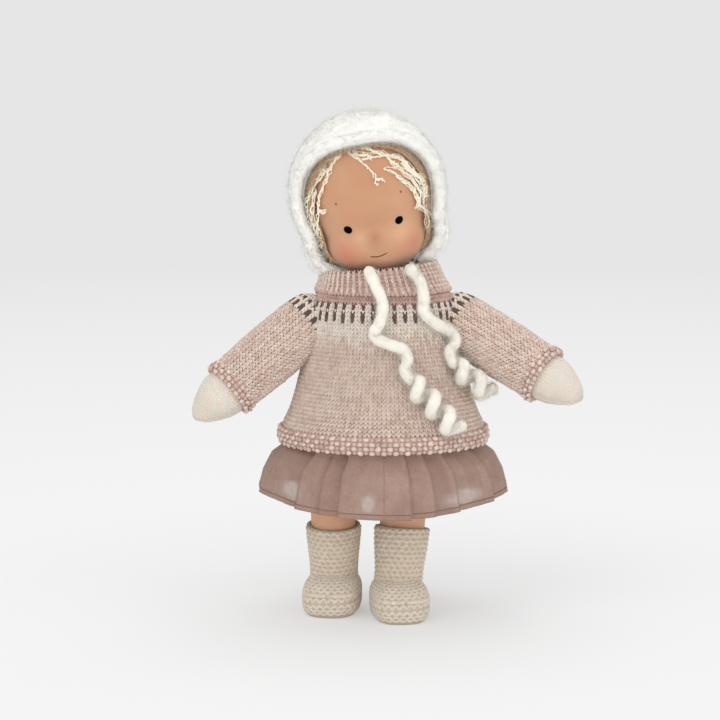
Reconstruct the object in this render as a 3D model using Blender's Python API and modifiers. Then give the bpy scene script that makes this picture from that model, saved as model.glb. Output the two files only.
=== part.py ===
"""A stuffed cloth doll in knitted clothes, built in its separate sewn and knitted pieces.

Metres, +Z up. The doll faces -Y and stands on the flat soles of its booties, with the
origin on the floor under the middle of its box. Left and right are the doll's own, so
its left side is at +X. Every wool core, skin, garment and stitch is its own solid.
"""

import math

import bmesh
import bpy
from mathutils import Matrix, Vector

# The doll as a whole
OBJECT_NAME = "stuffed_doll"
TORSO_SIDE = -0.003
TORSO_BOTTOM = 0.1162
SHOULDER_RISE = 0.0948
SHOULDER_HEIGHT = TORSO_BOTTOM + SHOULDER_RISE
GAP = 0.0003
CUT_OVERRUN = 0.020

# Head
NECK_RISE = 0.0390
NECK_HEIGHT = SHOULDER_HEIGHT + NECK_RISE
NECK_SIDE = -0.0016
HEAD_LEAN = math.radians(11.0)
HEAD_HALF_WIDTH = 0.0405
HEAD_HALF_DEPTH = 0.0435
HEAD_HALF_HEIGHT = 0.0490
HEAD_RISE = 0.0480
SKIN_THICKNESS = 0.0014
CHEEK_FULLNESS_SHARE = 0.09
CHEEK_DROP_SHARE = 0.45
CHEEK_SPREAD_SHARE = 0.40
EYE_LINE_DENT = 0.0014
EYE_LINE_SPREAD = 0.0070
EYE_RISE = 0.0322
EYE_SPACING = 0.0366
EYE_RADIUS = 0.0029
BROW_RISE = 0.0515
BROW_SPACING = 0.0460
BROW_RADIUS = 0.0011
NOSE_RISE = 0.0225
NOSE_RADIUS = 0.0056
NOSE_PROUD = 0.0034
MOUTH_RISE = 0.0109
MOUTH_WIDTH = 0.0120
MOUTH_SAG = 0.0012
STITCH_RADIUS = 0.0006

# Wig and bonnet
WIG_THICKNESS = 0.0062
WIG_EDGE_TOP = math.radians(58.0)
WIG_EDGE_SIDE = math.radians(71.0)
WIG_EDGE_BOTTOM = math.radians(100.0)
WIG_BOTTOM = 0.0130
WIG_FULLNESS_SHARES = (1.1, 0.8, 0.2)
BONNET_HALF_WIDTH = 0.0555
BONNET_HALF_DEPTH = 0.0570
BONNET_HALF_HEIGHT = 0.0565
BONNET_RISE = 0.0500
BONNET_BACK = 0.0010
BONNET_THICKNESS = 0.0045
BONNET_EDGE_TOP = math.radians(46.0)
BONNET_EDGE_SIDE = math.radians(61.0)
BONNET_EDGE_BOTTOM = math.radians(56.0)
BRIM_RADIUS = 0.0036
BONNET_NECK_RADIUS = 0.0260
CHIN_GAP = 0.0230

# Neck
NECK_BALL_RADIUS = 0.0170
NECK_BALL_EDGE = math.radians(120.0)
NECK_RADIUS = 0.0145
NECK_DEPTH = 0.0245
NECK_TIE_DROP = 0.0125
NECK_TIE_RADIUS = 0.0011

# Torso
TORSO_SHOULDER_RISE = 0.0210
TORSO_TOP = SHOULDER_HEIGHT + TORSO_SHOULDER_RISE
TORSO_HALF_WIDTH = 0.0390
TORSO_DEPTH_SHARE = 0.72
PELVIS_SIDE = -0.0085
BODY_SKIN = 0.0014

# Arms
SHOULDER_SPACING = 0.0964
ARM_LENGTH = 0.1110
ARM_RADIUS = 0.0142
ARM_ROOT_RADIUS = 0.0135
ARM_END_RADIUS = 0.0030
ARM_BALL_START = math.radians(70.0)
ARM_BALL_END = math.radians(150.0)
GATHER_THICKNESS = 0.0028
GATHER_EDGE = math.radians(124.0)
RIGHT_ARM_DROP = math.radians(39.0)
RIGHT_ARM_FORWARD = math.radians(16.0)
LEFT_ARM_DROP = math.radians(30.4)
LEFT_ARM_FORWARD = math.radians(24.0)
ARM_LOWEST = math.radians(52.0)
MITTEN_THICKNESS = 0.0014
MITTEN_RADIUS = 0.0176
MITTEN_START = 0.0640

# Sweater
SLEEVE_RADIUS = 0.0198
SLEEVE_THICKNESS = 0.0022
SLEEVE_LENGTH = 0.0733
SLEEVE_CAP_START = math.radians(104.0)
SLEEVE_CAP_END = math.radians(140.0)
CUFF_WIDTH = 0.0070
CUFF_RADIUS = 0.0198
SWEATER_THICKNESS = 0.0026
SWEATER_STEP_COUNT = 26
YOKE_FULLNESS_SHARE = 0.72
SWEATER_DEPTH_SHARE = 0.80
HEM_RISE = 0.0068
HEM_BOTTOM = TORSO_BOTTOM + HEM_RISE
HEM_HEIGHT = 0.0120
HEM_HALF_WIDTH = 0.0735
HEM_THICKNESS = 0.0044
SWEATER_CHEST = 0.0520
SWEATER_HIP = 0.0705
YOKE_RISE = 0.0200
COLLAR_SEAT = SHOULDER_HEIGHT + YOKE_RISE
COLLAR_HEIGHT = 0.0135
COLLAR_TOP = COLLAR_SEAT + COLLAR_HEIGHT
COLLAR_HALF_WIDTH = 0.0466
COLLAR_THICKNESS = 0.0042
COLLAR_DRAW_IN = 0.0050
COLLAR_DEPTH_SHARE = 0.84

# Skirt
WAIST_RISE = 0.0308
WAIST_HEIGHT = TORSO_BOTTOM + WAIST_RISE
WAISTBAND_WIDTH = 0.0100
WAISTBAND_THICKNESS = 0.0024
SKIRT_REACH = 0.0362
SKIRT_HEM_HEIGHT = TORSO_BOTTOM - SKIRT_REACH
SKIRT_HEM_LIFT = 0.0095
SKIRT_HALF_WIDTH = 0.0870
SKIRT_DEPTH_SHARE = 0.785
SKIRT_THICKNESS = 0.0012
SKIRT_FOLD_COUNT = 12
FOLD_DEPTH = 0.0026
SMALL_FOLD_SHARE = 0.35
SMALL_FOLD_TURN = math.radians(46.0)
WAIST_SWAY_SHARE = 0.72
WAIST_SWAY_END_SHARE = 0.42

# Legs and booties
HIP_SPACING = 0.0518
LEG_RADIUS = 0.0158
LEG_END_RADIUS = 0.0030
HIP_BALL_END = math.radians(105.0)
ANKLE_HEIGHT = 0.0165
FOOT_SPACING = 0.0450
FOOT_CENTRE = -0.0123
LEFT_FOOT_FORWARD = 0.0120
RIGHT_FOOT_FORWARD = -0.0060
FOOT_TURN_OUT = math.radians(9.0)
FOOT_LENGTH = 0.0430
FOOT_WIDTH = 0.0310
FOOT_HEIGHT = 0.0200
FOOT_REACH = 0.0085
FOOT_ROUNDNESS_SHARE = 0.72
FOOT_SLOPE_SHARE = 0.6
SOLE_DEPTH_SHARE = 0.75
BOOTIE_THICKNESS = 0.0044
BOOTIE_TOP = 0.0620
BOOTIE_RADIUS = 0.0190
BOOTIE_LINING_SHARE = 0.96
SOLE_FLAT = 0.0005

# Bonnet ties
TIE_RADIUS = 0.0042
CURL_RADIUS = 0.0052
RIGHT_CURL_COUNT = 3
LEFT_CURL_COUNT = 2
CURL_POINT_COUNT = 8
CURL_OPENING_COUNT = 3

# Routes of the two ties from the chin to where their curls begin, chosen by hand
RIGHT_TIE_ROUTE = (
    (-0.0146, -0.0358, 0.2500),
    (-0.0088, -0.0420, 0.2377),
    (-0.0039, -0.0440, 0.2260),
    (-0.0053, -0.0461, 0.2139),
    (-0.0102, -0.0462, 0.2040),
    (-0.0011, -0.0465, 0.1984),
    (0.0102, -0.0456, 0.1941),
    (0.0130, -0.0464, 0.1870),
    (0.0112, -0.0492, 0.1800),
    (0.0150, -0.0527, 0.1745),
)
LEFT_TIE_ROUTE = (
    (0.0120, -0.0350, 0.2505),
    (0.0165, -0.0362, 0.2465),
    (0.0221, -0.0364, 0.2389),
    (0.0243, -0.0372, 0.2274),
    (0.0243, -0.0396, 0.2194),
    (0.0320, -0.0366, 0.2110),
    (0.0425, -0.0284, 0.2046),
    (0.0467, -0.0282, 0.1980),
    (0.0425, -0.0296, 0.1905),
    (0.0450, -0.0338, 0.1830),
)
RIGHT_CURL_END = (0.0456, -0.0540, 0.1405)
LEFT_CURL_END = (0.0690, -0.0310, 0.1620)

# Outlines as shares of the sizes above, from the top down
TORSO_OUTLINE_SHARES = (
    (1.00, 0.38), (0.985, 0.62), (0.95, 0.86), (0.88, 0.98), (0.75, 0.97),
    (0.55, 0.90), (0.38, 0.90), (0.22, 0.97), (0.10, 0.97), (0.03, 0.84), (0.0, 0.58),
)
ARM_OUTLINE_SHARES = (
    (0.970, 0.34), (0.935, 0.62), (0.88, 0.84), (0.80, 0.99), (0.72, 1.00),
    (0.60, 0.93), (0.42, 1.00), (0.25, 1.00), (0.13, 0.92),
)
MITTEN_OUTLINE_SHARES = (
    (0.985, 0.30), (0.95, 0.54), (0.89, 0.78), (0.83, 0.95), (0.78, 1.00), (0.73, 0.94),
)
SWEATER_OUTLINE_SHARES = (
    (1.00, 0.00), (0.78, 0.00), (0.62, 0.16), (0.44, 0.36), (0.28, 0.52), (0.13, 0.72), (0.0, 1.0),
)
COLLAR_OUTLINE_SHARES = ((1.00, 1.24), (0.88, 1.00), (0.45, 0.45), (0.16, 0.0), (0.0, 0.0))
ARM_SWEEP_SHARES = (6.0, 4.5, 3.5, 2.8, 2.2, 1.8, 1.5, 1.25, 1.1, 1.0)
BOOTIE_SHAFT_SHARES = ((0.86, 0.91), (0.66, 0.97))
SLEEVE_OUTLINE_SHARES = (
    (1.00, 0.97), (0.86, 0.98), (0.68, 1.02), (0.45, 1.02), (0.22, 1.00), (0.0, 1.0),
)
LEG_OUTLINE_SHARES = (
    (0.00, 1.00), (0.30, 1.02), (0.55, 0.99), (0.85, 0.97), (1.00, 0.93),
)
SKIRT_OUTLINE_SHARES = (
    (0.00, 0.00), (0.20, 0.45), (0.43, 0.56), (0.57, 0.80), (0.78, 0.93), (1.00, 1.00),
)

SKIN_COLOUR = (0.72, 0.42, 0.27)
WOOL_COLOUR = (0.86, 0.82, 0.74)
KNIT_COLOUR = (0.68, 0.54, 0.46)
TRIM_COLOUR = (0.64, 0.43, 0.38)
CREAM_COLOUR = (0.80, 0.74, 0.65)
MOHAIR_COLOUR = (0.90, 0.87, 0.80)
SKIRT_COLOUR = (0.42, 0.27, 0.22)
HAIR_COLOUR = (0.78, 0.64, 0.44)
DARK_COLOUR = (0.01, 0.006, 0.004)
THREAD_COLOUR = (0.30, 0.16, 0.10)


class Shop:
    """Holds the two collections and the empties that the pieces hang from."""

    def __init__(self):
        for old in list(bpy.data.objects):
            bpy.data.objects.remove(old, do_unlink=True)
        self.parts = bpy.data.collections.new(OBJECT_NAME)
        self.cutters = bpy.data.collections.new("cutters")
        for collection in (self.parts, self.cutters):
            bpy.context.scene.collection.children.link(collection)
        self.materials = {}

    def material(self, name, colour, roughness=0.9):
        """One Principled material for each finish."""
        if name not in self.materials:
            made = bpy.data.materials.new(name)
            made.use_nodes = True
            shader = made.node_tree.nodes["Principled BSDF"]
            shader.inputs["Base Color"].default_value = (*colour, 1.0)
            shader.inputs["Roughness"].default_value = roughness
            shader.inputs["Metallic"].default_value = 0.0
            made.diffuse_color = (*colour, 1.0)
            self.materials[name] = made
        return self.materials[name]

    def empty(self, name, matrix):
        """A guide that carries pieces, standing on a joint's axis."""
        guide = bpy.data.objects.new(name, None)
        guide.matrix_world = matrix
        guide.empty_display_size = NECK_RADIUS
        self.parts.objects.link(guide)
        return guide

    def add(self, name, mesh, frame=None, finish=None):
        """A piece when it has a finish, and otherwise a cutter that isn't rendered."""
        made = bpy.data.objects.new(name, mesh)
        if finish is None:
            self.cutters.objects.link(made)
            made.hide_render = True
            made.display_type = "WIRE"
        else:
            self.parts.objects.link(made)
            mesh.materials.append(self.material(name + "_finish", *finish))
            mesh.shade_smooth()
            mesh.set_sharp_from_angle(angle=math.radians(50.0))
        made.parent = frame
        return made


shop = Shop()


def frame_at(origin, axis, side):
    """A frame whose Z runs along the axis, and whose X is as near to side as it can be."""
    up = Vector(axis).normalized()
    depth = up.cross(Vector(side)).normalized()
    across = depth.cross(up).normalized()
    turned = Matrix((across, depth, up)).transposed().to_4x4()
    return Matrix.Translation(Vector(origin)) @ turned


def smooth(points, steps):
    """Points of a smooth curve through the given ones, with steps to each span."""
    knots = [Vector(point) for point in points]
    knots = [2 * knots[0] - knots[1]] + knots + [2 * knots[-1] - knots[-2]]
    found = []
    for before, start, end, after in zip(knots, knots[1:], knots[2:], knots[3:]):
        for step in range(steps):
            t = step / steps
            found.append(
                (
                    2 * start
                    + (end - before) * t
                    + (2 * before - 5 * start + 4 * end - after) * t**2
                    + (3 * start - before - 3 * end + after) * t**3
                )
                / 2
            )
    return found + [knots[-2]]


def turned(name, points, steps, ring, frame=None, finish=None):
    """A profile of (radius, height) points, outer side first from the top down, turned about Z."""
    form = bmesh.new()
    corners = [form.verts.new((radius, 0.0, height)) for radius, height in points]
    for start, end in zip(corners, corners[1:]):
        form.edges.new((start, end))
    if ring:
        form.edges.new((corners[-1], corners[0]))
    mesh = bpy.data.meshes.new(name)
    form.to_mesh(mesh)
    form.free()
    made = shop.add(name, mesh, frame, finish)
    screw = made.modifiers.new("turn", "SCREW")
    screw.steps = screw.render_steps = steps
    screw.use_merge_vertices = True
    screw.merge_threshold = 0.00001
    screw.use_smooth_shade = True
    return made


def ball(name, radii, centre, across, around, frame=None, finish=None, shape=None):
    """A sphere drawn out to three radii, whose points the shape function may then move."""
    form = bmesh.new()
    bmesh.ops.create_uvsphere(form, u_segments=around, v_segments=across, radius=1.0)
    for corner in form.verts:
        way = corner.co.copy()
        corner.co = Vector(a * b for a, b in zip(way, radii)) + Vector(centre)
        if shape:
            corner.co = shape(corner.co, way)
    mesh = bpy.data.meshes.new(name)
    form.to_mesh(mesh)
    form.free()
    return shop.add(name, mesh, frame, finish)


def box(name, low, high, frame=None):
    """A plain block between two corners, to cut with."""
    form = bmesh.new()
    bmesh.ops.create_cube(form, size=1.0)
    for corner in form.verts:
        corner.co = Vector(
            a + (b - a) * (share + 0.5) for a, b, share in zip(low, high, corner.co)
        )
    mesh = bpy.data.meshes.new(name)
    form.to_mesh(mesh)
    form.free()
    return shop.add(name, mesh, frame)


def combine(target, other, operation="DIFFERENCE"):
    """Cuts the target by the other shape, or joins it on."""
    step = target.modifiers.new(other.name, "BOOLEAN")
    step.operation = operation
    step.solver = "EXACT"
    step.object = other
    return target


def thicken(target, wall):
    """Gives an open surface its wall, on the inner side."""
    solid = target.modifiers.new("wall", "SOLIDIFY")
    solid.thickness = wall
    solid.offset = -1.0


def tube(name, points, radius, frame, finish, resolution=2):
    """A round cord or stitch along points, made a mesh with its end caps welded on."""
    curve = bpy.data.curves.new(name, "CURVE")
    curve.dimensions = "3D"
    curve.bevel_depth = radius
    curve.bevel_resolution = resolution
    curve.use_fill_caps = True
    line = curve.splines.new("POLY")
    line.points.add(len(points) - 1)
    for place, point in zip(line.points, points):
        place.co = (*point, 1.0)
    guide = bpy.data.objects.new(name + "_guide", curve)
    shop.cutters.objects.link(guide)
    graph = bpy.context.evaluated_depsgraph_get()
    mesh = bpy.data.meshes.new_from_object(guide.evaluated_get(graph))
    bpy.data.objects.remove(guide)
    mesh.name = name
    form = bmesh.new()
    form.from_mesh(mesh)
    bmesh.ops.remove_doubles(form, verts=form.verts, dist=GAP / 10)
    form.to_mesh(mesh)
    form.free()
    return shop.add(name, mesh, frame, finish)


def arc(radius, first, last, steps):
    """Profile points round a ball at the origin, at angles from straight up."""
    angles = [first + (last - first) * step / steps for step in range(steps + 1)]
    return [(radius * math.sin(angle), radius * math.cos(angle)) for angle in angles]


def scaled_outline(shares, length, radius, start=0.0):
    """Turns rows of (along share, radius share) into (radius, height) points."""
    return [(radius * wide, start + length * along) for along, wide in shares]


# Frames that the bodies turn about

def neck_matrix():
    """The neck's pivot, upright."""
    return Matrix.Translation((TORSO_SIDE + NECK_SIDE, 0.0, NECK_HEIGHT))


def head_matrix():
    """The neck's pivot, leaning with the head."""
    return neck_matrix() @ Matrix.Rotation(-HEAD_LEAN, 4, "Y")


def torso_matrix():
    """The middle of the torso's underside, leaning with the torso."""
    foot = Vector((TORSO_SIDE + PELVIS_SIDE, 0.0, TORSO_BOTTOM))
    return frame_at(foot, Vector((TORSO_SIDE, 0.0, TORSO_TOP)) - foot, (1, 0, 0))


def shoulder_point(side):
    """Where an arm pivots: side is 1 for the doll's left and -1 for its right."""
    return Vector((TORSO_SIDE + side * SHOULDER_SPACING / 2, 0.0, SHOULDER_HEIGHT))


def arm_direction(side):
    """Which way an arm points at rest."""
    drop = LEFT_ARM_DROP if side > 0 else RIGHT_ARM_DROP
    forward = LEFT_ARM_FORWARD if side > 0 else RIGHT_ARM_FORWARD
    level = math.cos(forward)
    return Vector(
        (side * math.cos(drop) * level, -math.sin(forward), -math.sin(drop) * level)
    )


def hip_point(side):
    """Where a leg swings."""
    return torso_matrix() @ Vector((side * HIP_SPACING / 2, 0.0, -LEG_RADIUS - GAP))


def ankle_point(side):
    """The middle of a leg where it meets its foot."""
    forward = LEFT_FOOT_FORWARD if side > 0 else RIGHT_FOOT_FORWARD
    place = TORSO_SIDE + FOOT_CENTRE + side * FOOT_SPACING / 2
    return Vector((place, -forward, ANKLE_HEIGHT))


# Head

def head_shape(point, way):
    """Fuller cheeks, and a dent at the line where the eye thread draws the head in."""
    low = math.exp(-(((way.z + CHEEK_DROP_SHARE) / CHEEK_SPREAD_SHARE) ** 2))
    point.x *= 1 + CHEEK_FULLNESS_SHARE * low
    front = max(0.0, -way.y)
    rise = (point.z - EYE_RISE) / EYE_LINE_SPREAD
    point.y += EYE_LINE_DENT * front * math.exp(-rise * rise)
    return point


def head_form(name, grow, across=12, around=20, frame=None, finish=None):
    """The head's outer form, made larger all round by grow."""
    radii = (HEAD_HALF_WIDTH + grow, HEAD_HALF_DEPTH + grow, HEAD_HALF_HEIGHT + grow)
    return ball(name, radii, (0, 0, HEAD_RISE), across, around, frame, finish, head_shape)


def face_depth(across, rise):
    """How far in front of the pivot the skin lies, at a place on the face."""
    side = across / HEAD_HALF_WIDTH
    up = (rise - HEAD_RISE) / HEAD_HALF_HEIGHT
    return HEAD_HALF_DEPTH * math.sqrt(1 - side * side - up * up)


def build_head(frame):
    """Wool core, skin with its nose, and the embroidered face."""
    socket = ball(
        "neck_socket_cutter", [NECK_BALL_RADIUS + GAP * 2] * 3, (0, 0, 0), 10, 18, frame
    )
    core = head_form("head_wool", -SKIN_THICKNESS - GAP * 5, 8, 14, frame, (WOOL_COLOUR,))
    combine(core, socket)
    skin = head_form("head_skin", 0.0, frame=frame, finish=(SKIN_COLOUR,))
    nose_depth = face_depth(0, NOSE_RISE) + NOSE_PROUD - NOSE_RADIUS
    nose = ball(
        "nose_form", [NOSE_RADIUS] * 3, (0, -nose_depth, NOSE_RISE), 8, 12, frame
    )
    combine(skin, nose, "UNION")
    combine(skin, head_form("skin_inside_cutter", -SKIN_THICKNESS, frame=frame))
    combine(skin, socket)
    face = head_form("face_cutter", GAP, frame=frame)
    for side, label in ((1, "left"), (-1, "right")):
        for name, rise, spacing, radius in (
            ("eye_", EYE_RISE, EYE_SPACING, EYE_RADIUS),
            ("brow_stitch_", BROW_RISE, BROW_SPACING, BROW_RADIUS),
        ):
            across = side * spacing / 2
            place = (across, -face_depth(across, rise) + radius / 4, rise)
            dot = ball(name + label, [radius] * 3, place, 8, 10, frame, (DARK_COLOUR, 0.4))
            combine(dot, face)
    points = []
    for share in (-1.0, -0.5, 0.0, 0.5, 1.0):
        across = share * MOUTH_WIDTH / 2
        rise = MOUTH_RISE - MOUTH_SAG * (1 - share * share)
        proud = STITCH_RADIUS * 2 + GAP
        points.append((across, -face_depth(across, rise) - proud, rise))
    tube("mouth_stitch", points, STITCH_RADIUS, frame, (THREAD_COLOUR,))
    combine(bpy.data.objects["mouth_stitch"], face)


def hood(name, radii, centre, edges, around, rings, frame, finish, tail=math.pi):
    """An open cup round the back of the head; edges are its front angles at top, side and bottom."""
    form = bmesh.new()
    bmesh.ops.create_uvsphere(form, u_segments=around, v_segments=rings, radius=1.0)
    pole = max(form.verts, key=lambda corner: corner.co.z)
    bmesh.ops.delete(form, geom=[pole], context="VERTS")
    first = math.pi / rings
    for corner in form.verts:
        polar = math.acos(max(-1.0, min(1.0, corner.co.z)))
        turn = math.atan2(corner.co.x, corner.co.y) if polar < math.pi - first / 2 else 0.0
        share = (polar - first) / (math.pi - first)
        angle = front_angle(edges, turn)
        angle += (tail - angle) * share
        corner.co = hood_point(radii, centre, angle, turn)
    bmesh.ops.recalc_face_normals(form, faces=form.faces)
    mesh = bpy.data.meshes.new(name)
    form.to_mesh(mesh)
    form.free()
    return shop.add(name, mesh, frame, finish)


def front_angle(edges, turn):
    """The hood's front edge, as an angle from straight ahead, at a turn round the face."""
    top, side, bottom = edges
    level = math.cos(turn)
    end = top if level > 0 else bottom
    return side + (end - side) * level * level


def hood_point(radii, centre, angle, turn):
    """A point of the hood: angle from straight ahead, and turn from the top round the face."""
    wide = math.sin(angle)
    return Vector(
        (
            radii[0] * wide * math.sin(turn) + centre[0],
            -radii[1] * math.cos(angle) + centre[1],
            radii[2] * wide * math.cos(turn) + centre[2],
        )
    )


def build_wig(frame):
    """A cap of hair yarn over the back, top and sides of the head."""
    sizes = (HEAD_HALF_WIDTH, HEAD_HALF_DEPTH, HEAD_HALF_HEIGHT)
    radii = [
        size + WIG_THICKNESS * share for size, share in zip(sizes, WIG_FULLNESS_SHARES)
    ]
    edges = (WIG_EDGE_TOP, WIG_EDGE_SIDE, WIG_EDGE_BOTTOM)
    wig = hood("wig_cap", radii, (0, 0, HEAD_RISE), edges, 22, 8, frame, (HAIR_COLOUR,))
    thicken(wig, WIG_THICKNESS)
    combine(wig, head_form("wig_inside_cutter", GAP * 2, frame=frame))
    wide = BONNET_HALF_DEPTH
    nape = box("nape_cutter", (-wide, -wide, -CUT_OVERRUN), (wide, wide, WIG_BOTTOM), frame)
    combine(wig, nape)


def build_bonnet(frame):
    """The knitted hood, open at the neck and under the chin, and its rolled edge."""
    radii = (BONNET_HALF_WIDTH, BONNET_HALF_DEPTH, BONNET_HALF_HEIGHT)
    centre = (0.0, BONNET_BACK, BONNET_RISE)
    edges = (BONNET_EDGE_TOP, BONNET_EDGE_SIDE, BONNET_EDGE_BOTTOM)
    roll_turn = (BRIM_RADIUS + GAP * 2) / BONNET_HALF_WIDTH
    shell_edges = [edge + roll_turn for edge in edges]
    shell = hood("bonnet_shell", radii, centre, shell_edges, 24, 9, frame, (MOHAIR_COLOUR,))
    thicken(shell, BONNET_THICKNESS)
    neck_top = BONNET_RISE - BONNET_HALF_HEIGHT + CUT_OVERRUN
    hole = turned(
        "bonnet_neck_cutter",
        [(0, neck_top), (BONNET_NECK_RADIUS, neck_top),
         (BONNET_NECK_RADIUS, -CUT_OVERRUN), (0, -CUT_OVERRUN)],
        20, False, frame,
    )
    combine(shell, hole)
    chin = box(
        "bonnet_chin_cutter",
        (-CHIN_GAP / 2, -BONNET_HALF_DEPTH, -CUT_OVERRUN), (CHIN_GAP / 2, 0.0, neck_top), frame,
    )
    combine(shell, chin)
    middle = [size - BONNET_THICKNESS / 2 for size in radii]
    gap_turn = math.asin((CHIN_GAP / 2 + BRIM_RADIUS) / (middle[0] * math.sin(edges[2])))
    reach = math.pi - gap_turn
    count = 24
    points = [
        hood_point(middle, centre, front_angle(edges, turn), turn)
        for turn in (reach * (2 * step / count - 1) for step in range(count + 1))
    ]
    tube("bonnet_brim", points, BRIM_RADIUS, frame, (MOHAIR_COLOUR,))


# Neck and torso

def build_neck(frame):
    """The stuffed neck with the ball that the head turns on, and the thread that ties it off."""
    points = arc(NECK_BALL_RADIUS, 0.0, NECK_BALL_EDGE, 8)
    points += [(NECK_RADIUS, -NECK_DEPTH), (0.0, -NECK_DEPTH)]
    turned("neck_stub", points, 16, False, frame, (SKIN_COLOUR,))
    middle = NECK_RADIUS + NECK_TIE_RADIUS + GAP
    ring = [
        (middle + NECK_TIE_RADIUS * math.sin(a), NECK_TIE_RADIUS * math.cos(a) - NECK_TIE_DROP)
        for a in (step * math.tau / 6 for step in range(6))
    ]
    turned("neck_tie", ring, 18, True, frame, (THREAD_COLOUR,))


def torso_form(name, inset, frame, finish=None, steps=16):
    """The stuffed body, with a deep side and a shallow front, drawn in at the waist."""
    height = TORSO_TOP - TORSO_BOTTOM
    outline = scaled_outline(
        TORSO_OUTLINE_SHARES, height - 2 * inset, TORSO_HALF_WIDTH, inset
    )
    points = [(0.0, outline[0][1])]
    points += [(radius - inset, rise) for radius, rise in outline]
    points += [(0.0, outline[-1][1])]
    made = turned(name, points, steps, False, frame, finish)
    made.scale.y = TORSO_DEPTH_SHARE
    return made


def build_torso(frame, neck):
    """Wool core and sewn skin, hollowed for the neck and the arms' ends."""
    bore = NECK_RADIUS + GAP
    depth = NECK_DEPTH + GAP
    hole = turned(
        "torso_neck_cutter", [(0, 0), (bore, 0), (bore, -depth), (0, -depth)], 24, False, neck
    )
    core = torso_form("torso_wool", BODY_SKIN + GAP * 5, frame, (WOOL_COLOUR,), 12)
    skin = torso_form("torso_skin", 0.0, frame, (SKIN_COLOUR,))
    combine(skin, torso_form("torso_inside_cutter", BODY_SKIN, frame))
    for side, label in ((1, "left"), (-1, "right")):
        radius = ARM_ROOT_RADIUS + GATHER_THICKNESS + GAP * 3
        socket = ball(
            "arm_socket_cutter_" + label, [radius] * 3, shoulder_point(side), 12, 20
        )
        combine(skin, socket)
        inner = ball(
            "arm_core_cutter_" + label, [radius + BODY_SKIN] * 3, shoulder_point(side), 8, 14
        )
        combine(core, inner)
    combine(core, hole)
    combine(skin, hole)


# Arms

def build_arm(side, label):
    """Skin, wool and mitten, and the gathered end by which the arm is sewn on."""
    root = shoulder_point(side)
    way = arm_direction(side)
    frame = shop.empty("arm_pivot_" + label, frame_at(root, way, (0, 1, 0)))
    sewn = shop.empty("shoulder_pivot_" + label, frame_at(root, (side, 0, 0), (0, 1, 0)))

    def arm_profile(inset):
        """From the fingertip down to the ball at the shoulder."""
        reach = ARM_LENGTH - 3 * MITTEN_THICKNESS
        points = [(0.0, reach - inset)]
        for radius, along in scaled_outline(ARM_OUTLINE_SHARES, reach, ARM_RADIUS):
            points.append((radius - inset, along - inset * (along > ARM_LENGTH / 2)))
        return points + arc(ARM_ROOT_RADIUS - inset, ARM_BALL_START, ARM_BALL_END, 5)

    outer = arm_profile(0.0)
    inner = arm_profile(BODY_SKIN)
    reach = ARM_ROOT_RADIUS
    outer.append((ARM_END_RADIUS, -math.sqrt(reach**2 - ARM_END_RADIUS**2)))
    inner.append((ARM_END_RADIUS, BODY_SKIN - math.sqrt(reach**2 - ARM_END_RADIUS**2)))
    turned("arm_skin_" + label, outer + inner[::-1], 12, False, frame, (SKIN_COLOUR,))
    core = arm_profile(BODY_SKIN + GAP * 2)
    core.append((0.0, core[-1][1] - GAP))
    turned("arm_wool_" + label, core, 10, False, frame, (WOOL_COLOUR,))

    mitten = [(0.0, ARM_LENGTH)]
    mitten += scaled_outline(MITTEN_OUTLINE_SHARES, ARM_LENGTH, MITTEN_RADIUS)
    mitten.append((ARM_RADIUS + MITTEN_THICKNESS + GAP * 2, MITTEN_START))
    inside = [(ARM_RADIUS + GAP * 2, MITTEN_START)]
    inside += [
        (max(radius - MITTEN_THICKNESS, 0.0), along - MITTEN_THICKNESS / 2)
        for radius, along in mitten[-2:0:-1]
    ]
    inside.append((0.0, ARM_LENGTH - MITTEN_THICKNESS))
    turned("mitten_" + label, mitten + inside, 14, False, frame, (CREAM_COLOUR,))

    inside = arc(ARM_ROOT_RADIUS + GAP * 2, math.pi, GATHER_EDGE, 4)
    outside = arc(ARM_ROOT_RADIUS + GATHER_THICKNESS, GATHER_EDGE, math.pi, 4)
    cup = [(0.0, inside[0][1])] + inside[1:] + outside[:-1] + [(0.0, outside[-1][1])]
    turned("arm_gather_" + label, cup, 14, False, sewn, (SKIN_COLOUR,))
    return frame


# Sweater

def sweater_outline():
    """The sweater's outer side from the collar's seat down to the hem's top."""
    top = COLLAR_SEAT - GAP
    low = HEM_BOTTOM + HEM_HEIGHT + GAP
    neck = COLLAR_HALF_WIDTH - GAP
    yoke = neck + (SWEATER_CHEST - neck) * YOKE_FULLNESS_SHARE
    span = SHOULDER_HEIGHT - low
    flare = SWEATER_HIP - SWEATER_CHEST
    points = [(neck, top), (yoke, (top + SHOULDER_HEIGHT) / 2)]
    for rise, wide in SWEATER_OUTLINE_SHARES:
        points.append((SWEATER_CHEST + flare * wide, low + span * rise))
    return points


def sweater_form(name, grow, wall, frame, finish=None):
    """The sweater's body: a hollow wall when one is given, and else its filled outer form."""
    outer = [(radius + grow, height) for radius, height in sweater_outline()]
    if wall:
        points = outer + [(radius - wall, height) for radius, height in outer[::-1]]
    else:
        points = [(0.0, outer[0][1] + GAP)] + outer + [(0.0, outer[-1][1] - GAP)]
    made = turned(name, points, SWEATER_STEP_COUNT, bool(wall), frame, finish)
    made.scale.y = SWEATER_DEPTH_SHARE
    return made


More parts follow.
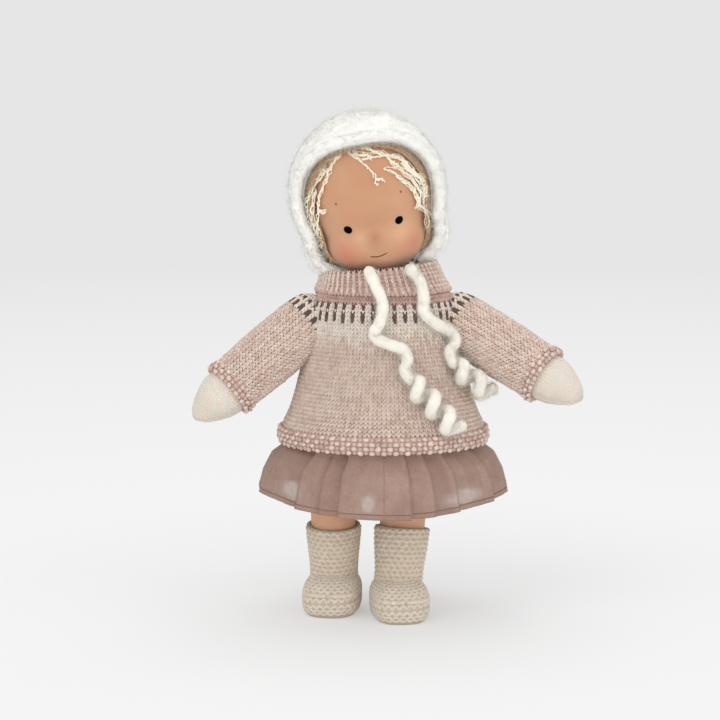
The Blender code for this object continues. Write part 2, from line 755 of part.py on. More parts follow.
def arm_sweep_profile():
    """What an arm passes through as it turns any way about its shoulder, from the far end in."""
    points = []
    radius = ARM_RADIUS + GAP * 3
    near = ARM_ROOT_RADIUS + GATHER_THICKNESS + GAP * 3
    for share in ARM_SWEEP_SHARES:
        reach = near * share
        angle = ARM_LOWEST + math.asin(min(1.0, radius / reach))
        points.append((reach * math.sin(angle), reach * math.cos(angle)))
    last = angle
    for step in range(1, 6):
        angle = last + (math.pi - last) * step / 6
        points.append((near * math.sin(angle), near * math.cos(angle)))
    return [(0.0, points[0][1])] + points + [(0.0, -near)]


def build_sweater(arm_frames):
    """Body, hem and collar of the sweater, with its sleeves and their cuffs."""
    frame = shop.empty("torso_middle", Matrix.Translation((TORSO_SIDE, 0, 0)))
    body = sweater_form("sweater_body", 0.0, SWEATER_THICKNESS, frame, (KNIT_COLOUR,))
    for side, label in ((1, "left"), (-1, "right")):
        sewn = bpy.data.objects["shoulder_pivot_" + label]
        sweep = turned(
            "arm_sweep_cutter_" + label, arm_sweep_profile(), 20, False, sewn
        )
        combine(body, sweep)

    top = HEM_BOTTOM + HEM_HEIGHT
    mid = HEM_BOTTOM + HEM_HEIGHT / 2
    inner = HEM_HALF_WIDTH - HEM_THICKNESS
    hem = [
        (SWEATER_HIP, top), (HEM_HALF_WIDTH, mid + HEM_HEIGHT / 4),
        (HEM_HALF_WIDTH, mid - HEM_HEIGHT / 4), (HEM_HALF_WIDTH - GAP * 6, HEM_BOTTOM),
        (inner, HEM_BOTTOM), (inner, mid), (SWEATER_HIP - SWEATER_THICKNESS, top),
    ]
    turned("sweater_hem", hem, SWEATER_STEP_COUNT, True, frame, (TRIM_COLOUR,)).scale.y = SWEATER_DEPTH_SHARE

    wide = COLLAR_HALF_WIDTH
    outer = [
        (wide - COLLAR_DRAW_IN * drawn, COLLAR_SEAT + COLLAR_HEIGHT * rise)
        for rise, drawn in COLLAR_OUTLINE_SHARES
    ]
    inside = [(radius - COLLAR_THICKNESS, height) for radius, height in outer[::-1]]
    turned("sweater_collar", outer + inside, SWEATER_STEP_COUNT, True, frame, (TRIM_COLOUR,)).scale.y = (
        COLLAR_DEPTH_SHARE
    )

    for (side, label), arm in zip(((1, "left"), (-1, "right")), arm_frames):
        build_sleeve(label, arm, frame)


def build_sleeve(label, arm, frame):
    """A sleeve that starts at the sweater's side, and the cuff at its end."""
    outer = scaled_outline(SLEEVE_OUTLINE_SHARES, SLEEVE_LENGTH, SLEEVE_RADIUS)
    inner = [(radius - SLEEVE_THICKNESS, along) for radius, along in outer[::-1]]
    near = SLEEVE_RADIUS - SLEEVE_THICKNESS
    outer += arc(SLEEVE_RADIUS, SLEEVE_CAP_START, SLEEVE_CAP_END, 3)
    inner = arc(near, SLEEVE_CAP_END, SLEEVE_CAP_START, 3) + inner
    sleeve = turned("sleeve_" + label, outer + inner, 14, True, arm, (KNIT_COLOUR,))
    combine(sleeve, sweater_form("body_cutter_" + label, GAP * 2, 0.0, frame))
    start = SLEEVE_LENGTH + GAP
    end = start + CUFF_WIDTH
    bore = MITTEN_RADIUS + GAP
    ring = [
        (CUFF_RADIUS - GAP, end), (CUFF_RADIUS + GAP, (start + end) / 2),
        (CUFF_RADIUS - GAP * 3, start), (bore, start), (bore, end),
    ]
    turned("cuff_" + label, ring, 16, True, arm, (TRIM_COLOUR,))


# Skirt

def skirt_radius(drop_share, turn):
    """The cloth's distance from the doll's middle, with its gathers opening towards the hem."""
    shares = SKIRT_OUTLINE_SHARES
    for (before, low), (after, high) in zip(shares, shares[1:]):
        if drop_share <= after:
            share = low + (high - low) * (drop_share - before) / (after - before)
            break
    waist = TORSO_HALF_WIDTH + WAISTBAND_THICKNESS
    opening = max(0.0, drop_share - shares[2][0]) / (1 - shares[2][0])
    fold = SKIRT_FOLD_COUNT * turn
    wave = math.cos(fold) + SMALL_FOLD_SHARE * math.cos(2 * fold + SMALL_FOLD_TURN)
    return waist + (SKIRT_HALF_WIDTH - waist) * share + FOLD_DEPTH * wave * opening


def build_skirt(frame):
    """Waistband and gathered cloth."""
    height = TORSO_TOP - TORSO_BOTTOM
    low = WAIST_HEIGHT - TORSO_BOTTOM
    band_share = max(
        wide for along, wide in TORSO_OUTLINE_SHARES
        if low <= along * height + WAISTBAND_WIDTH and along * height <= low + 2 * WAISTBAND_WIDTH
    )
    inner = TORSO_HALF_WIDTH * band_share + GAP * 2
    outer = inner + WAISTBAND_THICKNESS
    band = [
        (outer, low + WAISTBAND_WIDTH), (outer, low), (inner, low), (inner, low + WAISTBAND_WIDTH),
    ]
    turned("skirt_waistband", band, 20, True, frame, (SKIRT_COLOUR,)).scale.y = TORSO_DEPTH_SHARE

    around = SKIRT_FOLD_COUNT * 4
    form = bmesh.new()
    rows = len(SKIRT_OUTLINE_SHARES)
    previous = None
    for row in range(rows):
        drop_share = SKIRT_OUTLINE_SHARES[row][0]
        ring = []
        for step in range(around):
            turn = math.tau * step / around
            radius = skirt_radius(drop_share, turn)
            hem = SKIRT_HEM_HEIGHT + SKIRT_HEM_LIFT * math.cos(turn) ** 2
            top = WAIST_HEIGHT - GAP * 2
            sway = WAIST_SWAY_SHARE * max(0.0, 1 - drop_share / WAIST_SWAY_END_SHARE)
            side = TORSO_SIDE + PELVIS_SIDE * sway
            ring.append(
                form.verts.new(
                    (
                        side + radius * math.cos(turn),
                        radius * SKIRT_DEPTH_SHARE * math.sin(turn),
                        top + (hem - top) * drop_share,
                    )
                )
            )
        if previous:
            for step in range(around):
                after = (step + 1) % around
                form.faces.new((previous[step], ring[step], ring[after], previous[after]))
        previous = ring
    bmesh.ops.recalc_face_normals(form, faces=form.faces)
    mesh = bpy.data.meshes.new("skirt_cloth")
    form.to_mesh(mesh)
    form.free()
    cloth = shop.add("skirt_cloth", mesh, None, (SKIRT_COLOUR,))
    thicken(cloth, SKIRT_THICKNESS)


# Legs

def foot_matrix(side):
    """A foot's place on the floor, turned out a little."""
    ankle = ankle_point(side)
    return Matrix.Translation((ankle.x, ankle.y, 0.0)) @ Matrix.Rotation(
        side * FOOT_TURN_OUT, 4, "Z"
    )


def foot_form(name, grow, bottom, frame, finish=None):
    """A foot's rounded form, longer than wide, standing on bottom."""
    radii = [
        FOOT_WIDTH / 2 + grow,
        FOOT_LENGTH / 2 + grow,
        (FOOT_HEIGHT + 2 * grow) / (1 + SOLE_DEPTH_SHARE),
    ]
    sole = -radii[2] * SOLE_DEPTH_SHARE

    def shape(point, way):
        """Boxier than a ball, with a flat sole."""
        size = [math.copysign(abs(part) ** FOOT_ROUNDNESS_SHARE, part) for part in way]
        made = Vector(a * b for a, b in zip(size, radii))
        high = max(0.0, made.z) / radii[2]
        made.y += high * FOOT_REACH * FOOT_SLOPE_SHARE
        made.z = max(made.z, sole)
        return made + Vector((0, -FOOT_REACH, bottom - sole))

    return ball(name, radii, (0, 0, 0), 8, 14, frame, finish, shape)


def leg_form(name, inset, side, leg, foot, finish=None, steps=12):
    """Leg and foot in one form, drawn in by inset."""
    length = (hip_point(side) - ankle_point(side)).length
    top = arc(LEG_RADIUS - inset, math.pi, HIP_BALL_END, 5)
    top[0] = (0.0, top[0][1])
    outline = scaled_outline(LEG_OUTLINE_SHARES, length, LEG_RADIUS)
    points = top + [(radius - inset, along) for radius, along in outline]
    points.append((0.0, outline[-1][1]))
    made = turned(name, points[::-1], steps, False, leg, finish)
    combine(
        made,
        foot_form(name + "_foot", -inset, BOOTIE_THICKNESS + GAP + inset, foot),
        "UNION",
    )
    return made


def build_leg(side, label):
    """Skin, wool and knitted bootie."""
    hip = hip_point(side)
    leg = shop.empty("hip_pivot_" + label, frame_at(hip, ankle_point(side) - hip, (1, 0, 0)))
    foot = shop.empty("foot_place_" + label, foot_matrix(side))
    leg_form("leg_wool_" + label, BODY_SKIN + GAP * 4, side, leg, foot, (WOOL_COLOUR,), 10)
    skin = leg_form("leg_skin_" + label, 0.0, side, leg, foot, (SKIN_COLOUR,))
    combine(skin, leg_form("leg_inside_cutter_" + label, BODY_SKIN, side, leg, foot))
    pin = turned(
        "leg_end_cutter_" + label,
        [(0, 0), (LEG_END_RADIUS, 0), (LEG_END_RADIUS, -CUT_OVERRUN), (0, -CUT_OVERRUN)],
        12, False, leg,
    )
    combine(skin, pin)

    cavity = leg_form("bootie_cavity_cutter_" + label, -GAP, side, leg, foot)
    sole = box(
        "sole_cutter_" + label,
        (-FOOT_LENGTH, -FOOT_LENGTH, -CUT_OVERRUN), (FOOT_LENGTH, FOOT_LENGTH, 0.0), foot,
    )
    shoe = foot_form("bootie_foot_" + label, BOOTIE_THICKNESS, -SOLE_FLAT, foot, (CREAM_COLOUR,))
    combine(shoe, sole)
    combine(shoe, cavity)

    length = (hip - ankle_point(side)).length
    along = length * (hip.z - BOOTIE_TOP) / (hip.z - ANKLE_HEIGHT)
    inner = LEG_RADIUS * BOOTIE_LINING_SHARE
    ring = [(BOOTIE_RADIUS * wide, length * down) for down, wide in BOOTIE_SHAFT_SHARES]
    ring += [(BOOTIE_RADIUS, along), (inner, along), (inner, length)]
    ring.insert(0, (ring[0][0], length))
    shaft = turned("bootie_shaft_" + label, ring, 16, True, leg, (CREAM_COLOUR,))
    combine(shaft, foot_form("bootie_foot_cutter_" + label, BOOTIE_THICKNESS + GAP, -SOLE_FLAT, foot))
    combine(shaft, cavity)


# Bonnet ties

def tie_points(route, end, curls):
    """A tie's whole course: down its hand-chosen route, then round its curls."""
    course = list(smooth(route, 2))
    start = course[-1]
    axis = Vector(end) - start
    way = axis.normalized()
    side = way.cross(Vector((0, 1, 0))).normalized()
    front = side.cross(way)
    count = curls * CURL_POINT_COUNT
    for step in range(1, count + 1):
        turn = math.tau * step / CURL_POINT_COUNT
        ring = side * math.sin(turn) + front * math.cos(turn)
        opened = CURL_RADIUS * min(1.0, step / CURL_OPENING_COUNT)
        course.append(start + axis * step / count + ring * opened)
    last = (course[-1] - course[-2]).normalized()
    course.append(course[-1] + last * TIE_RADIUS * 2)
    return course


def least_self_gap(points, radius):
    """How near a tube comes to itself, measured on its points."""
    least = math.inf
    for index, point in enumerate(points):
        walked = 0.0
        for before, after in zip(points[index:], points[index + 1:]):
            walked += (after - before).length
            if walked > radius * math.pi:
                least = min(least, (after - point).length - 2 * radius)
    return least


def build_ties():
    """The two cords that hang from the bonnet's front corners."""
    for label, route, end, curls in (
        ("right", RIGHT_TIE_ROUTE, RIGHT_CURL_END, RIGHT_CURL_COUNT),
        ("left", LEFT_TIE_ROUTE, LEFT_CURL_END, LEFT_CURL_COUNT),
    ):
        points = tie_points(route, end, curls)
        tube("bonnet_tie_" + label, points, TIE_RADIUS, None, (MOHAIR_COLOUR,), 1)
        length = sum((b - a).length for a, b in zip(points, points[1:]))
        print("tie", label, "length", round(length, 4),
              "least gap to itself", round(least_self_gap(points, TIE_RADIUS), 5))


def main():
    """Builds the doll from the head down."""
    neck = shop.empty("neck_pivot", neck_matrix())
    head = shop.empty("head_pivot", head_matrix())
    torso = shop.empty("torso_frame", torso_matrix())
    bpy.context.view_layer.update()
    build_head(head)
    build_wig(head)
    build_bonnet(head)
    build_neck(neck)
    build_torso(torso, neck)
    arms = [build_arm(side, label) for side, label in ((1, "left"), (-1, "right"))]
    build_sweater(arms)
    build_skirt(torso)
    for side, label in ((1, "left"), (-1, "right")):
        build_leg(side, label)
    build_ties()


main()
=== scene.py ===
"""A stuffed cloth doll in knitted clothes: its yarn, cloth, hair and stitching.

Metres, +Z up. The doll faces -Y, and its own left side is at +X. Every class holds one
sub-assembly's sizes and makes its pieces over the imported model's frame.
"""

import logging
import math
from dataclasses import dataclass, field
from enum import Enum
from typing import Any, Callable, Sequence

import bmesh
import bpy
import numpy as np
from mathutils import Matrix, Vector


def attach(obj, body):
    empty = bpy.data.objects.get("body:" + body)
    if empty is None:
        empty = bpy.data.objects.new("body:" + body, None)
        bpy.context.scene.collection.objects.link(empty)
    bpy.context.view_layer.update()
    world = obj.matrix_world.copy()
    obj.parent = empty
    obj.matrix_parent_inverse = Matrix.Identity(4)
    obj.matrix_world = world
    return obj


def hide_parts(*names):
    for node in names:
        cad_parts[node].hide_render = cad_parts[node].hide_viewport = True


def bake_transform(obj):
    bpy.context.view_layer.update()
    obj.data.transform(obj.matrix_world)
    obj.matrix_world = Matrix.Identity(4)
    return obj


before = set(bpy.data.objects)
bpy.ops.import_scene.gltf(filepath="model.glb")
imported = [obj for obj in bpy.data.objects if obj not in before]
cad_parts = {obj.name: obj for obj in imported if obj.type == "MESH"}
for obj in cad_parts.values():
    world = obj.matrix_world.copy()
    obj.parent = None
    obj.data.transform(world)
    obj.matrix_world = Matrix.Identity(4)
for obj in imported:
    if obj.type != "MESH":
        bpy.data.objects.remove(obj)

log = logging.getLogger("doll")

Colour = tuple[float, float, float]
TURN = math.tau


def paint(red: float, green: float, blue: float) -> Colour:
    """Linear colour of a display colour given from 0 to 255."""
    shares = (part / 255 for part in (red, green, blue))
    return tuple(part / 12.92 if part <= 0.04045 else ((part + 0.055) / 1.055) ** 2.4 for part in shares)


def frame_at(origin: Sequence[float], axis: Sequence[float], side: Sequence[float]) -> Matrix:
    """A frame whose Z runs along the axis, and whose X is as near to side as it can be."""
    up = Vector(axis).normalized()
    depth = up.cross(Vector(side)).normalized()
    across = depth.cross(up).normalized()
    turned = Matrix((across, depth, up)).transposed().to_4x4()
    return Matrix.Translation(Vector(origin)) @ turned


# Shader building

@dataclass
class Wire:
    """A shader socket's output that can be used in sums."""

    tree: "Tree"
    socket: Any

    def maths(self, operation: str, first: Any, second: Any = 0.0) -> "Wire":
        """One Math node on two values."""
        return self.tree.node("ShaderNodeMath", {"operation": operation}, {0: first, 1: second})

    def __add__(self, other: Any) -> "Wire":
        """This plus the other."""
        return self.maths("ADD", self, other)

    def __radd__(self, other: Any) -> "Wire":
        """The other plus this."""
        return self.maths("ADD", other, self)

    def __sub__(self, other: Any) -> "Wire":
        """This less the other."""
        return self.maths("SUBTRACT", self, other)

    def __rsub__(self, other: Any) -> "Wire":
        """The other less this."""
        return self.maths("SUBTRACT", other, self)

    def __mul__(self, other: Any) -> "Wire":
        """This times the other."""
        return self.maths("MULTIPLY", self, other)

    def __rmul__(self, other: Any) -> "Wire":
        """The other times this."""
        return self.maths("MULTIPLY", other, self)

    def __truediv__(self, other: Any) -> "Wire":
        """This over the other."""
        return self.maths("DIVIDE", self, other)

    def wave(self) -> "Wire":
        """The sine of this, from 0 to 1."""
        return self.maths("SINE", self) * 0.5 + 0.5

    def clear(self) -> "Wire":
        """This kept between 0 and 1."""
        return self.tree.node("ShaderNodeClamp", {}, {"Value": self})

    def size(self) -> "Wire":
        """This without its sign."""
        return self.maths("ABSOLUTE", self)


class Tree:
    """The nodes of one material."""

    def __init__(self, name: str) -> None:
        """Starts a material with its Principled shader."""
        self.material = bpy.data.materials.new(name)
        self.material.use_nodes = True
        self.nodes = self.material.node_tree.nodes
        self.links = self.material.node_tree.links
        self.shader = self.nodes["Principled BSDF"]

    def node(self, kind: str, settings: dict[str, Any], sockets: dict[Any, Any], out: Any = 0) -> Wire:
        """Adds any node.

        Args:
            kind: The node's type.
            settings: Its own properties.
            sockets: Values or wires for its inputs, by name or number.
            out: Which output is wanted.

        Returns:
            The wire from that output.
        """
        made = self.nodes.new(kind)
        for name, value in settings.items():
            setattr(made, name, value)
        for name, value in sockets.items():
            self.feed(made.inputs[name], value)
        return Wire(self, made.outputs[out])

    def feed(self, socket: Any, value: Any) -> None:
        """Links a wire to a socket, or sets its value."""
        if isinstance(value, Wire):
            self.links.new(value.socket, socket)
        elif isinstance(value, tuple) and socket.type == "RGBA" and len(value) == 3:
            socket.default_value = (*value, 1.0)
        else:
            socket.default_value = value

    def set(self, **sockets: Any) -> None:
        """Sets or links the Principled shader's inputs, with _ for a space."""
        for name, value in sockets.items():
            self.feed(self.shader.inputs[name.replace("_", " ")], value)

    def place(self) -> Wire:
        """Where a point is, in the object's own metres."""
        return self.node("ShaderNodeTexCoord", {}, {}, "Object")

    def uv(self) -> Wire:
        """The piece's own flat map."""
        return self.node("ShaderNodeTexCoord", {}, {}, "UV")

    def split(self, vector: Wire) -> tuple[Wire, Wire, Wire]:
        """A vector's three parts."""
        parts = self.node("ShaderNodeSeparateXYZ", {}, {0: vector})
        made = parts.socket.node
        return tuple(Wire(self, made.outputs[index]) for index in range(3))

    def noise(self, scale: float, detail: float = 2.0) -> Wire:
        """Soft noise from 0 to 1."""
        sockets = {"Vector": self.place(), "Scale": scale, "Detail": detail}
        return self.node("ShaderNodeTexNoise", {}, sockets)

    def mix(self, share: Any, first: Any, second: Any, kind: str = "MIX") -> Wire:
        """One colour over another, by a share."""
        settings = {"data_type": "RGBA", "blend_type": kind}
        return self.node("ShaderNodeMix", settings, {0: share, 6: first, 7: second}, 2)

    def tint(self) -> Wire:
        """The colour that each stitch or strand carries."""
        return self.node("ShaderNodeAttribute", {"attribute_name": "tint"}, {}, "Color")

    def grey(self, level: Wire) -> Wire:
        """A grey of a level."""
        return self.node("ShaderNodeCombineXYZ", {}, {0: level, 1: level, 2: level})

    def bump(self, height: Wire, strength: float, distance: float) -> Wire:
        """A bumped normal from a height."""
        sockets = {"Height": height, "Strength": strength, "Distance": distance}
        return self.node("ShaderNodeBump", {}, sockets)

    def away(self, spot: Sequence[float], radius: float) -> Wire:
        """1 at a spot of the object, falling to 0 at the radius."""
        settings = {"operation": "DISTANCE"}
        made = self.node("ShaderNodeVectorMath", settings, {0: self.place(), 1: tuple(spot)}, "Value")
        return (1.0 - made / radius).clear()


@dataclass(frozen=True)
class Yarn:
    """Spun yarn whose colour each stitch carries."""

    name: str
    roughness: float = 0.92
    sheen: float = 0.25
    glow: Colour = (0.9, 0.86, 0.8)
    grain: float = 2600.0
    depth: float = 0.0003

    def make(self) -> bpy.types.Material:
        """Builds the material.

        Returns:
            Yarn with fine plies and small colour changes.
        """
        tree = Tree(self.name)
        fine = tree.noise(self.grain, 3.0)
        patch = tree.noise(140.0, 2.0)
        shade = tree.mix(0.30, tree.tint(), fine * 0.5 + 0.72, "MULTIPLY")
        shade = tree.mix(0.15, shade, patch * 0.8 + 0.60, "MULTIPLY")
        tree.set(Base_Color=shade, Roughness=self.roughness, Sheen_Weight=self.sheen)
        tree.set(Sheen_Roughness=0.5, Sheen_Tint=(*self.glow, 1.0), Normal=tree.bump(fine, 0.5, self.depth))
        return tree.material


@dataclass(frozen=True)
class Jersey:
    """Fine knitted cotton: skin, and the cream of the mittens."""

    name: str
    colour: Colour
    deep: Colour
    columns: float
    rows: float
    strength: float = 0.35
    blushes_and_painted_light: tuple = ()
    roughness: float = 0.86

    def make(self) -> bpy.types.Material:
        """Builds the material.

        Returns:
            Columns of tiny stitches on the piece's own flat map.
        """
        tree = Tree(self.name)
        u, v, _ = tree.split(tree.uv())
        across = u * self.columns
        lean = across.maths("PINGPONG", across, 0.5)
        row = (v * self.rows + lean * 0.9) * TURN
        rib = (across * TURN).wave()
        stitch = row.wave() * 0.6 + rib * 0.6
        cloud = tree.noise(55.0, 3.0)
        shade = tree.mix((cloud * 1.7 - 0.35).clear(), self.colour, self.deep)
        shade = tree.mix(0.16, shade, stitch * 0.7 + 0.35, "MULTIPLY")
        # Spots painted over the skin: real blush, and painted light and shade.
        for spot, radius, share, colour in self.blushes_and_painted_light:
            mask = tree.away(spot, radius)
            shade = tree.mix(mask * mask * share, shade, colour)
        fuzz = tree.noise(1500.0, 2.0)
        tree.set(Base_Color=shade, Roughness=self.roughness, Sheen_Weight=0.2, Sheen_Roughness=0.5)
        tree.set(Subsurface_Weight=0.30, Subsurface_Scale=0.006)
        tree.set(Normal=tree.bump(stitch + fuzz * 0.5, self.strength, 0.0004))
        return tree.material


@dataclass(frozen=True)
class Thread:
    """Embroidery or sewing thread with a slight gloss."""

    name: str
    colour: Colour
    roughness: float = 0.45
    gloss: float = 0.5

    def make(self) -> bpy.types.Material:
        """Builds the material.

        Returns:
            Thread with fine strands.
        """
        tree = Tree(self.name)
        fine = tree.noise(2400.0, 2.0)
        shade = tree.mix(0.4, self.colour, fine * 0.9 + 0.4, "MULTIPLY")
        tree.set(Base_Color=shade, Roughness=self.roughness, Normal=tree.bump(fine, 0.4, 0.0002))
        tree.set(Specular_IOR_Level=self.gloss)
        return tree.material


@dataclass(frozen=True)
class Gauze:
    """Thin see-through cloth."""

    name: str
    colour: Colour
    deep: Colour
    light: Colour = paint(222, 203, 192)
    cover: float = 0.86
    threads: float = 620.0
    windows: tuple = ()
    doubled_and_fold_shade: tuple = ()
    fold_shade: Colour = paint(138, 106, 93)

    def make(self) -> bpy.types.Material:
        """Builds the material.

        Returns:
            A sheer plain weave with small crinkles.
        """
        tree = Tree(self.name)
        u, v, _ = tree.split(tree.uv())
        weave = (u * self.threads * TURN).wave() * 0.5 + (v * self.threads * 0.25 * TURN).wave() * 0.5
        cloud = tree.noise(70.0, 3.0)
        crinkle = tree.noise(520.0, 3.0)
        shade = tree.mix((cloud * 1.6 - 0.3).clear(), self.colour, self.deep)
        shade = tree.mix(0.25, shade, crinkle * 0.9 + 0.4, "MULTIPLY")
        shade = tree.mix(0.12, shade, weave * 0.8 + 0.4, "MULTIPLY")
        shade = tree.mix(((v - 0.945) * 60.0).clear() * 0.4, shade, self.deep)
        cover = self.cover + (weave - 0.5) * 0.10 + (crinkle - 0.5) * 0.18
        # Darker bands beside the pleats: partly the cloth's double layer, partly painted fold shade.
        for middle, half, share in self.doubled_and_fold_shade:
            band = ((1.0 - (u - middle).size() / half) * 3.0).clear()
            shade = tree.mix(band * share, shade, self.fold_shade)
        for middle, half in self.windows:
            near = (1.0 - (u - middle[0]).size() / half[0]).clear() * (1.0 - (v - middle[1]).size() / half[1]).clear()
            single = (near * 2.4 + cloud * 1.5 - 0.85).clear() * ((crinkle * 2.0 - 0.35).clear() * 0.7 + 0.3)
            cover = cover - single * 0.40
            shade = tree.mix(single * 0.22, shade, self.light)
        cover = cover.clear()
        tree.set(Base_Color=shade, Roughness=0.82, Sheen_Weight=0.15, Alpha=cover)
        tree.set(Normal=tree.bump(crinkle + weave * 0.2, 0.35, 0.0005))
        return tree.material


# Meshes

def dye(form: bmesh.types.BMesh, tints: np.ndarray) -> None:
    """Gives the corners of a form their yarn's colour: one for all, or a row for each."""
    layer = form.verts.layers.float_color.new("tint")
    for corner, tint in zip(form.verts, np.broadcast_to(tints, (len(form.verts), 3))):
        corner[layer] = (*tint, 1.0)


def keep(name: str, form: bmesh.types.BMesh, material: bpy.types.Material, body: str | None,
         replaced: Sequence[str] = (), colour: Colour | None = None) -> bpy.types.Object:
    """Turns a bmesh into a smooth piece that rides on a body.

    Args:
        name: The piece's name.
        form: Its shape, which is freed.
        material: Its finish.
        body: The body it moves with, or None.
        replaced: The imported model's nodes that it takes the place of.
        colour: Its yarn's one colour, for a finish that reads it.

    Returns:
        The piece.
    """
    if colour:
        dye(form, colour)
    mesh = mesh_of(name, form)
    return show(name, mesh, material, body, replaced)


def mesh_of(name: str, form: bmesh.types.BMesh) -> bpy.types.Mesh:
    """A mesh of a form, which is freed."""
    mesh = bpy.data.meshes.new(name)
    form.to_mesh(mesh)
    form.free()
    return mesh


def show(name: str, mesh: bpy.types.Mesh, material: bpy.types.Material, body: str | None,
         replaced: Sequence[str] = ()) -> bpy.types.Object:
    """Puts a mesh into the scene as a piece; see keep for what it takes."""
    mesh.materials.append(material)
    mesh.shade_smooth()
    piece = bpy.data.objects.new(name, mesh)
    bpy.context.scene.collection.objects.link(piece)
    if body:
        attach(piece, body)
    if replaced:
        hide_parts(*replaced)
    log.info("%s: %d faces on %s", name, len(mesh.polygons), body)
    return piece


def put(corners: Sequence[bmesh.types.BMVert], places: np.ndarray) -> None:
    """Moves each corner to its own place."""
    for corner, place in zip(corners, places):
        corner.co = place


def spots_of(corners: Sequence[bmesh.types.BMVert]) -> np.ndarray:
    """Where each corner is, as rows."""
    return np.array([tuple(corner.co) for corner in corners])


class Surface:
    """A curved surface on which stitches lie; subclasses say where its points are."""

    def spot(self, turn: np.ndarray, along: np.ndarray, lift: Any = 0.0) -> np.ndarray:
        """Points of the surface, lifted off it.

        Args:
            turn: Angles round it.
            along: Distances along it.
            lift: How far off the surface each point is.

        Returns:
            One row of x, y and z for each point.
        """
        turn, along = np.broadcast_arrays(np.asarray(turn, float), np.asarray(along, float))
        return self.bare(turn, along) + self.out(turn, along) * np.asarray(lift)[..., None]

    def bare(self, turn: np.ndarray, along: np.ndarray) -> np.ndarray:
        """Points on the surface itself."""
        raise NotImplementedError

    def ways(self, turn: np.ndarray, along: np.ndarray) -> tuple[np.ndarray, np.ndarray]:
        """Unit directions round the surface and along it."""
        step, small = 0.002, 0.0001
        across = self.bare(turn + step, along) - self.bare(turn - step, along)
        up = self.bare(turn, along + small) - self.bare(turn, along - small)
        return unit(across), unit(up)

    def out(self, turn: np.ndarray, along: np.ndarray) -> np.ndarray:
        """Unit directions straight off the surface."""
        across, up = self.ways(turn, along)
        return unit(np.cross(across, up))


def unit(rows: np.ndarray) -> np.ndarray:
    """Rows made one long."""
    size = np.linalg.norm(rows, axis=-1, keepdims=True)
    return rows / np.maximum(size, 1e-12)


@dataclass
class Tube(Surface):
    """A surface turned about its frame's Z, with an oval section."""

    matrix: Matrix
    profile: Sequence[tuple[float, float]]
    depth: float = 1.0

    def __post_init__(self) -> None:
        """Sorts the profile of (along, radius) rows and smooths it."""
        rows = sorted(self.profile)
        self.heights = np.array([row[0] for row in rows])
        self.radii = np.array([row[1] for row in rows])
        self.base = np.array(self.matrix.to_3x3())
        self.start = np.array(self.matrix.translation)

    def radius(self, along: np.ndarray) -> np.ndarray:
        """The radius at each distance, with the profile's corners rounded."""
        span = (self.heights[-1] - self.heights[0]) * 0.02
        found = 0.0
        for shift in (-2.0, -1.0, 0.0, 1.0, 2.0):
            found = found + np.interp(along + shift * span, self.heights, self.radii)
        return found / 5

    def bare(self, turn: np.ndarray, along: np.ndarray) -> np.ndarray:
        """Points on the surface itself."""
        wide = self.radius(along)
        local = np.stack([wide * np.cos(turn), wide * np.sin(turn) * self.depth, along], -1)
        return local @ self.base.T + self.start


@dataclass
class LeaningTube(Tube):
    """A tube whose upper end is shifted sideways and raised more and more towards one side."""

    lean: float = 0.0
    raised: float = 0.0
    shift: float = 0.0

    def bare(self, turn: np.ndarray, along: np.ndarray) -> np.ndarray:
        """Points on the surface itself."""
        made = super().bare(turn, along)
        share = np.clip((along - self.heights[0]) / (self.heights[-1] - self.heights[0]), 0, 1)
        made[..., 2] += share * (self.raised + self.lean * (made[..., 0] - self.start[0]))
        made[..., 0] += share * self.shift
        return made


class Stitch(Enum):
    """The grain shapes that fabric is built from: half sizes across, along and off it."""

    PLAIN = (0.27, 0.62, 0.30)
    PURL = (0.52, 0.30, 0.34)


def grain(around: int = 5, rings: int = 4) -> tuple[np.ndarray, np.ndarray]:
    """A small round grain, of half size 1, that stitches are copies of.

    Args:
        around: Corners round it.
        rings: Steps from end to end.

    Returns:
        Its points and its triangles.
    """
    form = bmesh.new()
    bmesh.ops.create_uvsphere(form, u_segments=around, v_segments=rings, radius=1.0)
    for corner in form.verts:
        corner.co = (corner.co.x, corner.co.z, corner.co.y)
    return triangles_of(form)


def triangles_of(form: bmesh.types.BMesh) -> tuple[np.ndarray, np.ndarray]:
    """A form's points and its triangles, facing out; the form is freed."""
    bmesh.ops.recalc_face_normals(form, faces=form.faces)
    bmesh.ops.triangulate(form, faces=form.faces)
    form.verts.index_update()
    points = spots_of(form.verts)
    faces = np.array([[corner.index for corner in face.verts] for face in form.faces])
    form.free()
    return points, faces


def fibre(sides: int = 3, steps: int = 2) -> tuple[np.ndarray, np.ndarray]:
    """A bent hair one long, standing on its root, that fuzz is copies of.

    Args:
        sides: Corners round it.
        steps: Spans from root to tip.

    Returns:
        Its points and its triangles.
    """
    form = bmesh.new()
    bmesh.ops.create_cone(form, cap_ends=True, segments=sides, radius1=1.0, radius2=0.25, depth=1.0)
    for step in range(1, steps):
        bmesh.ops.bisect_plane(
            form, geom=form.verts[:] + form.edges[:] + form.faces[:],
            plane_co=(0, 0, step / steps - 0.5), plane_no=(0, 0, 1),
        )
    for corner in form.verts:
        corner.co.z += 0.5
    return triangles_of(form)


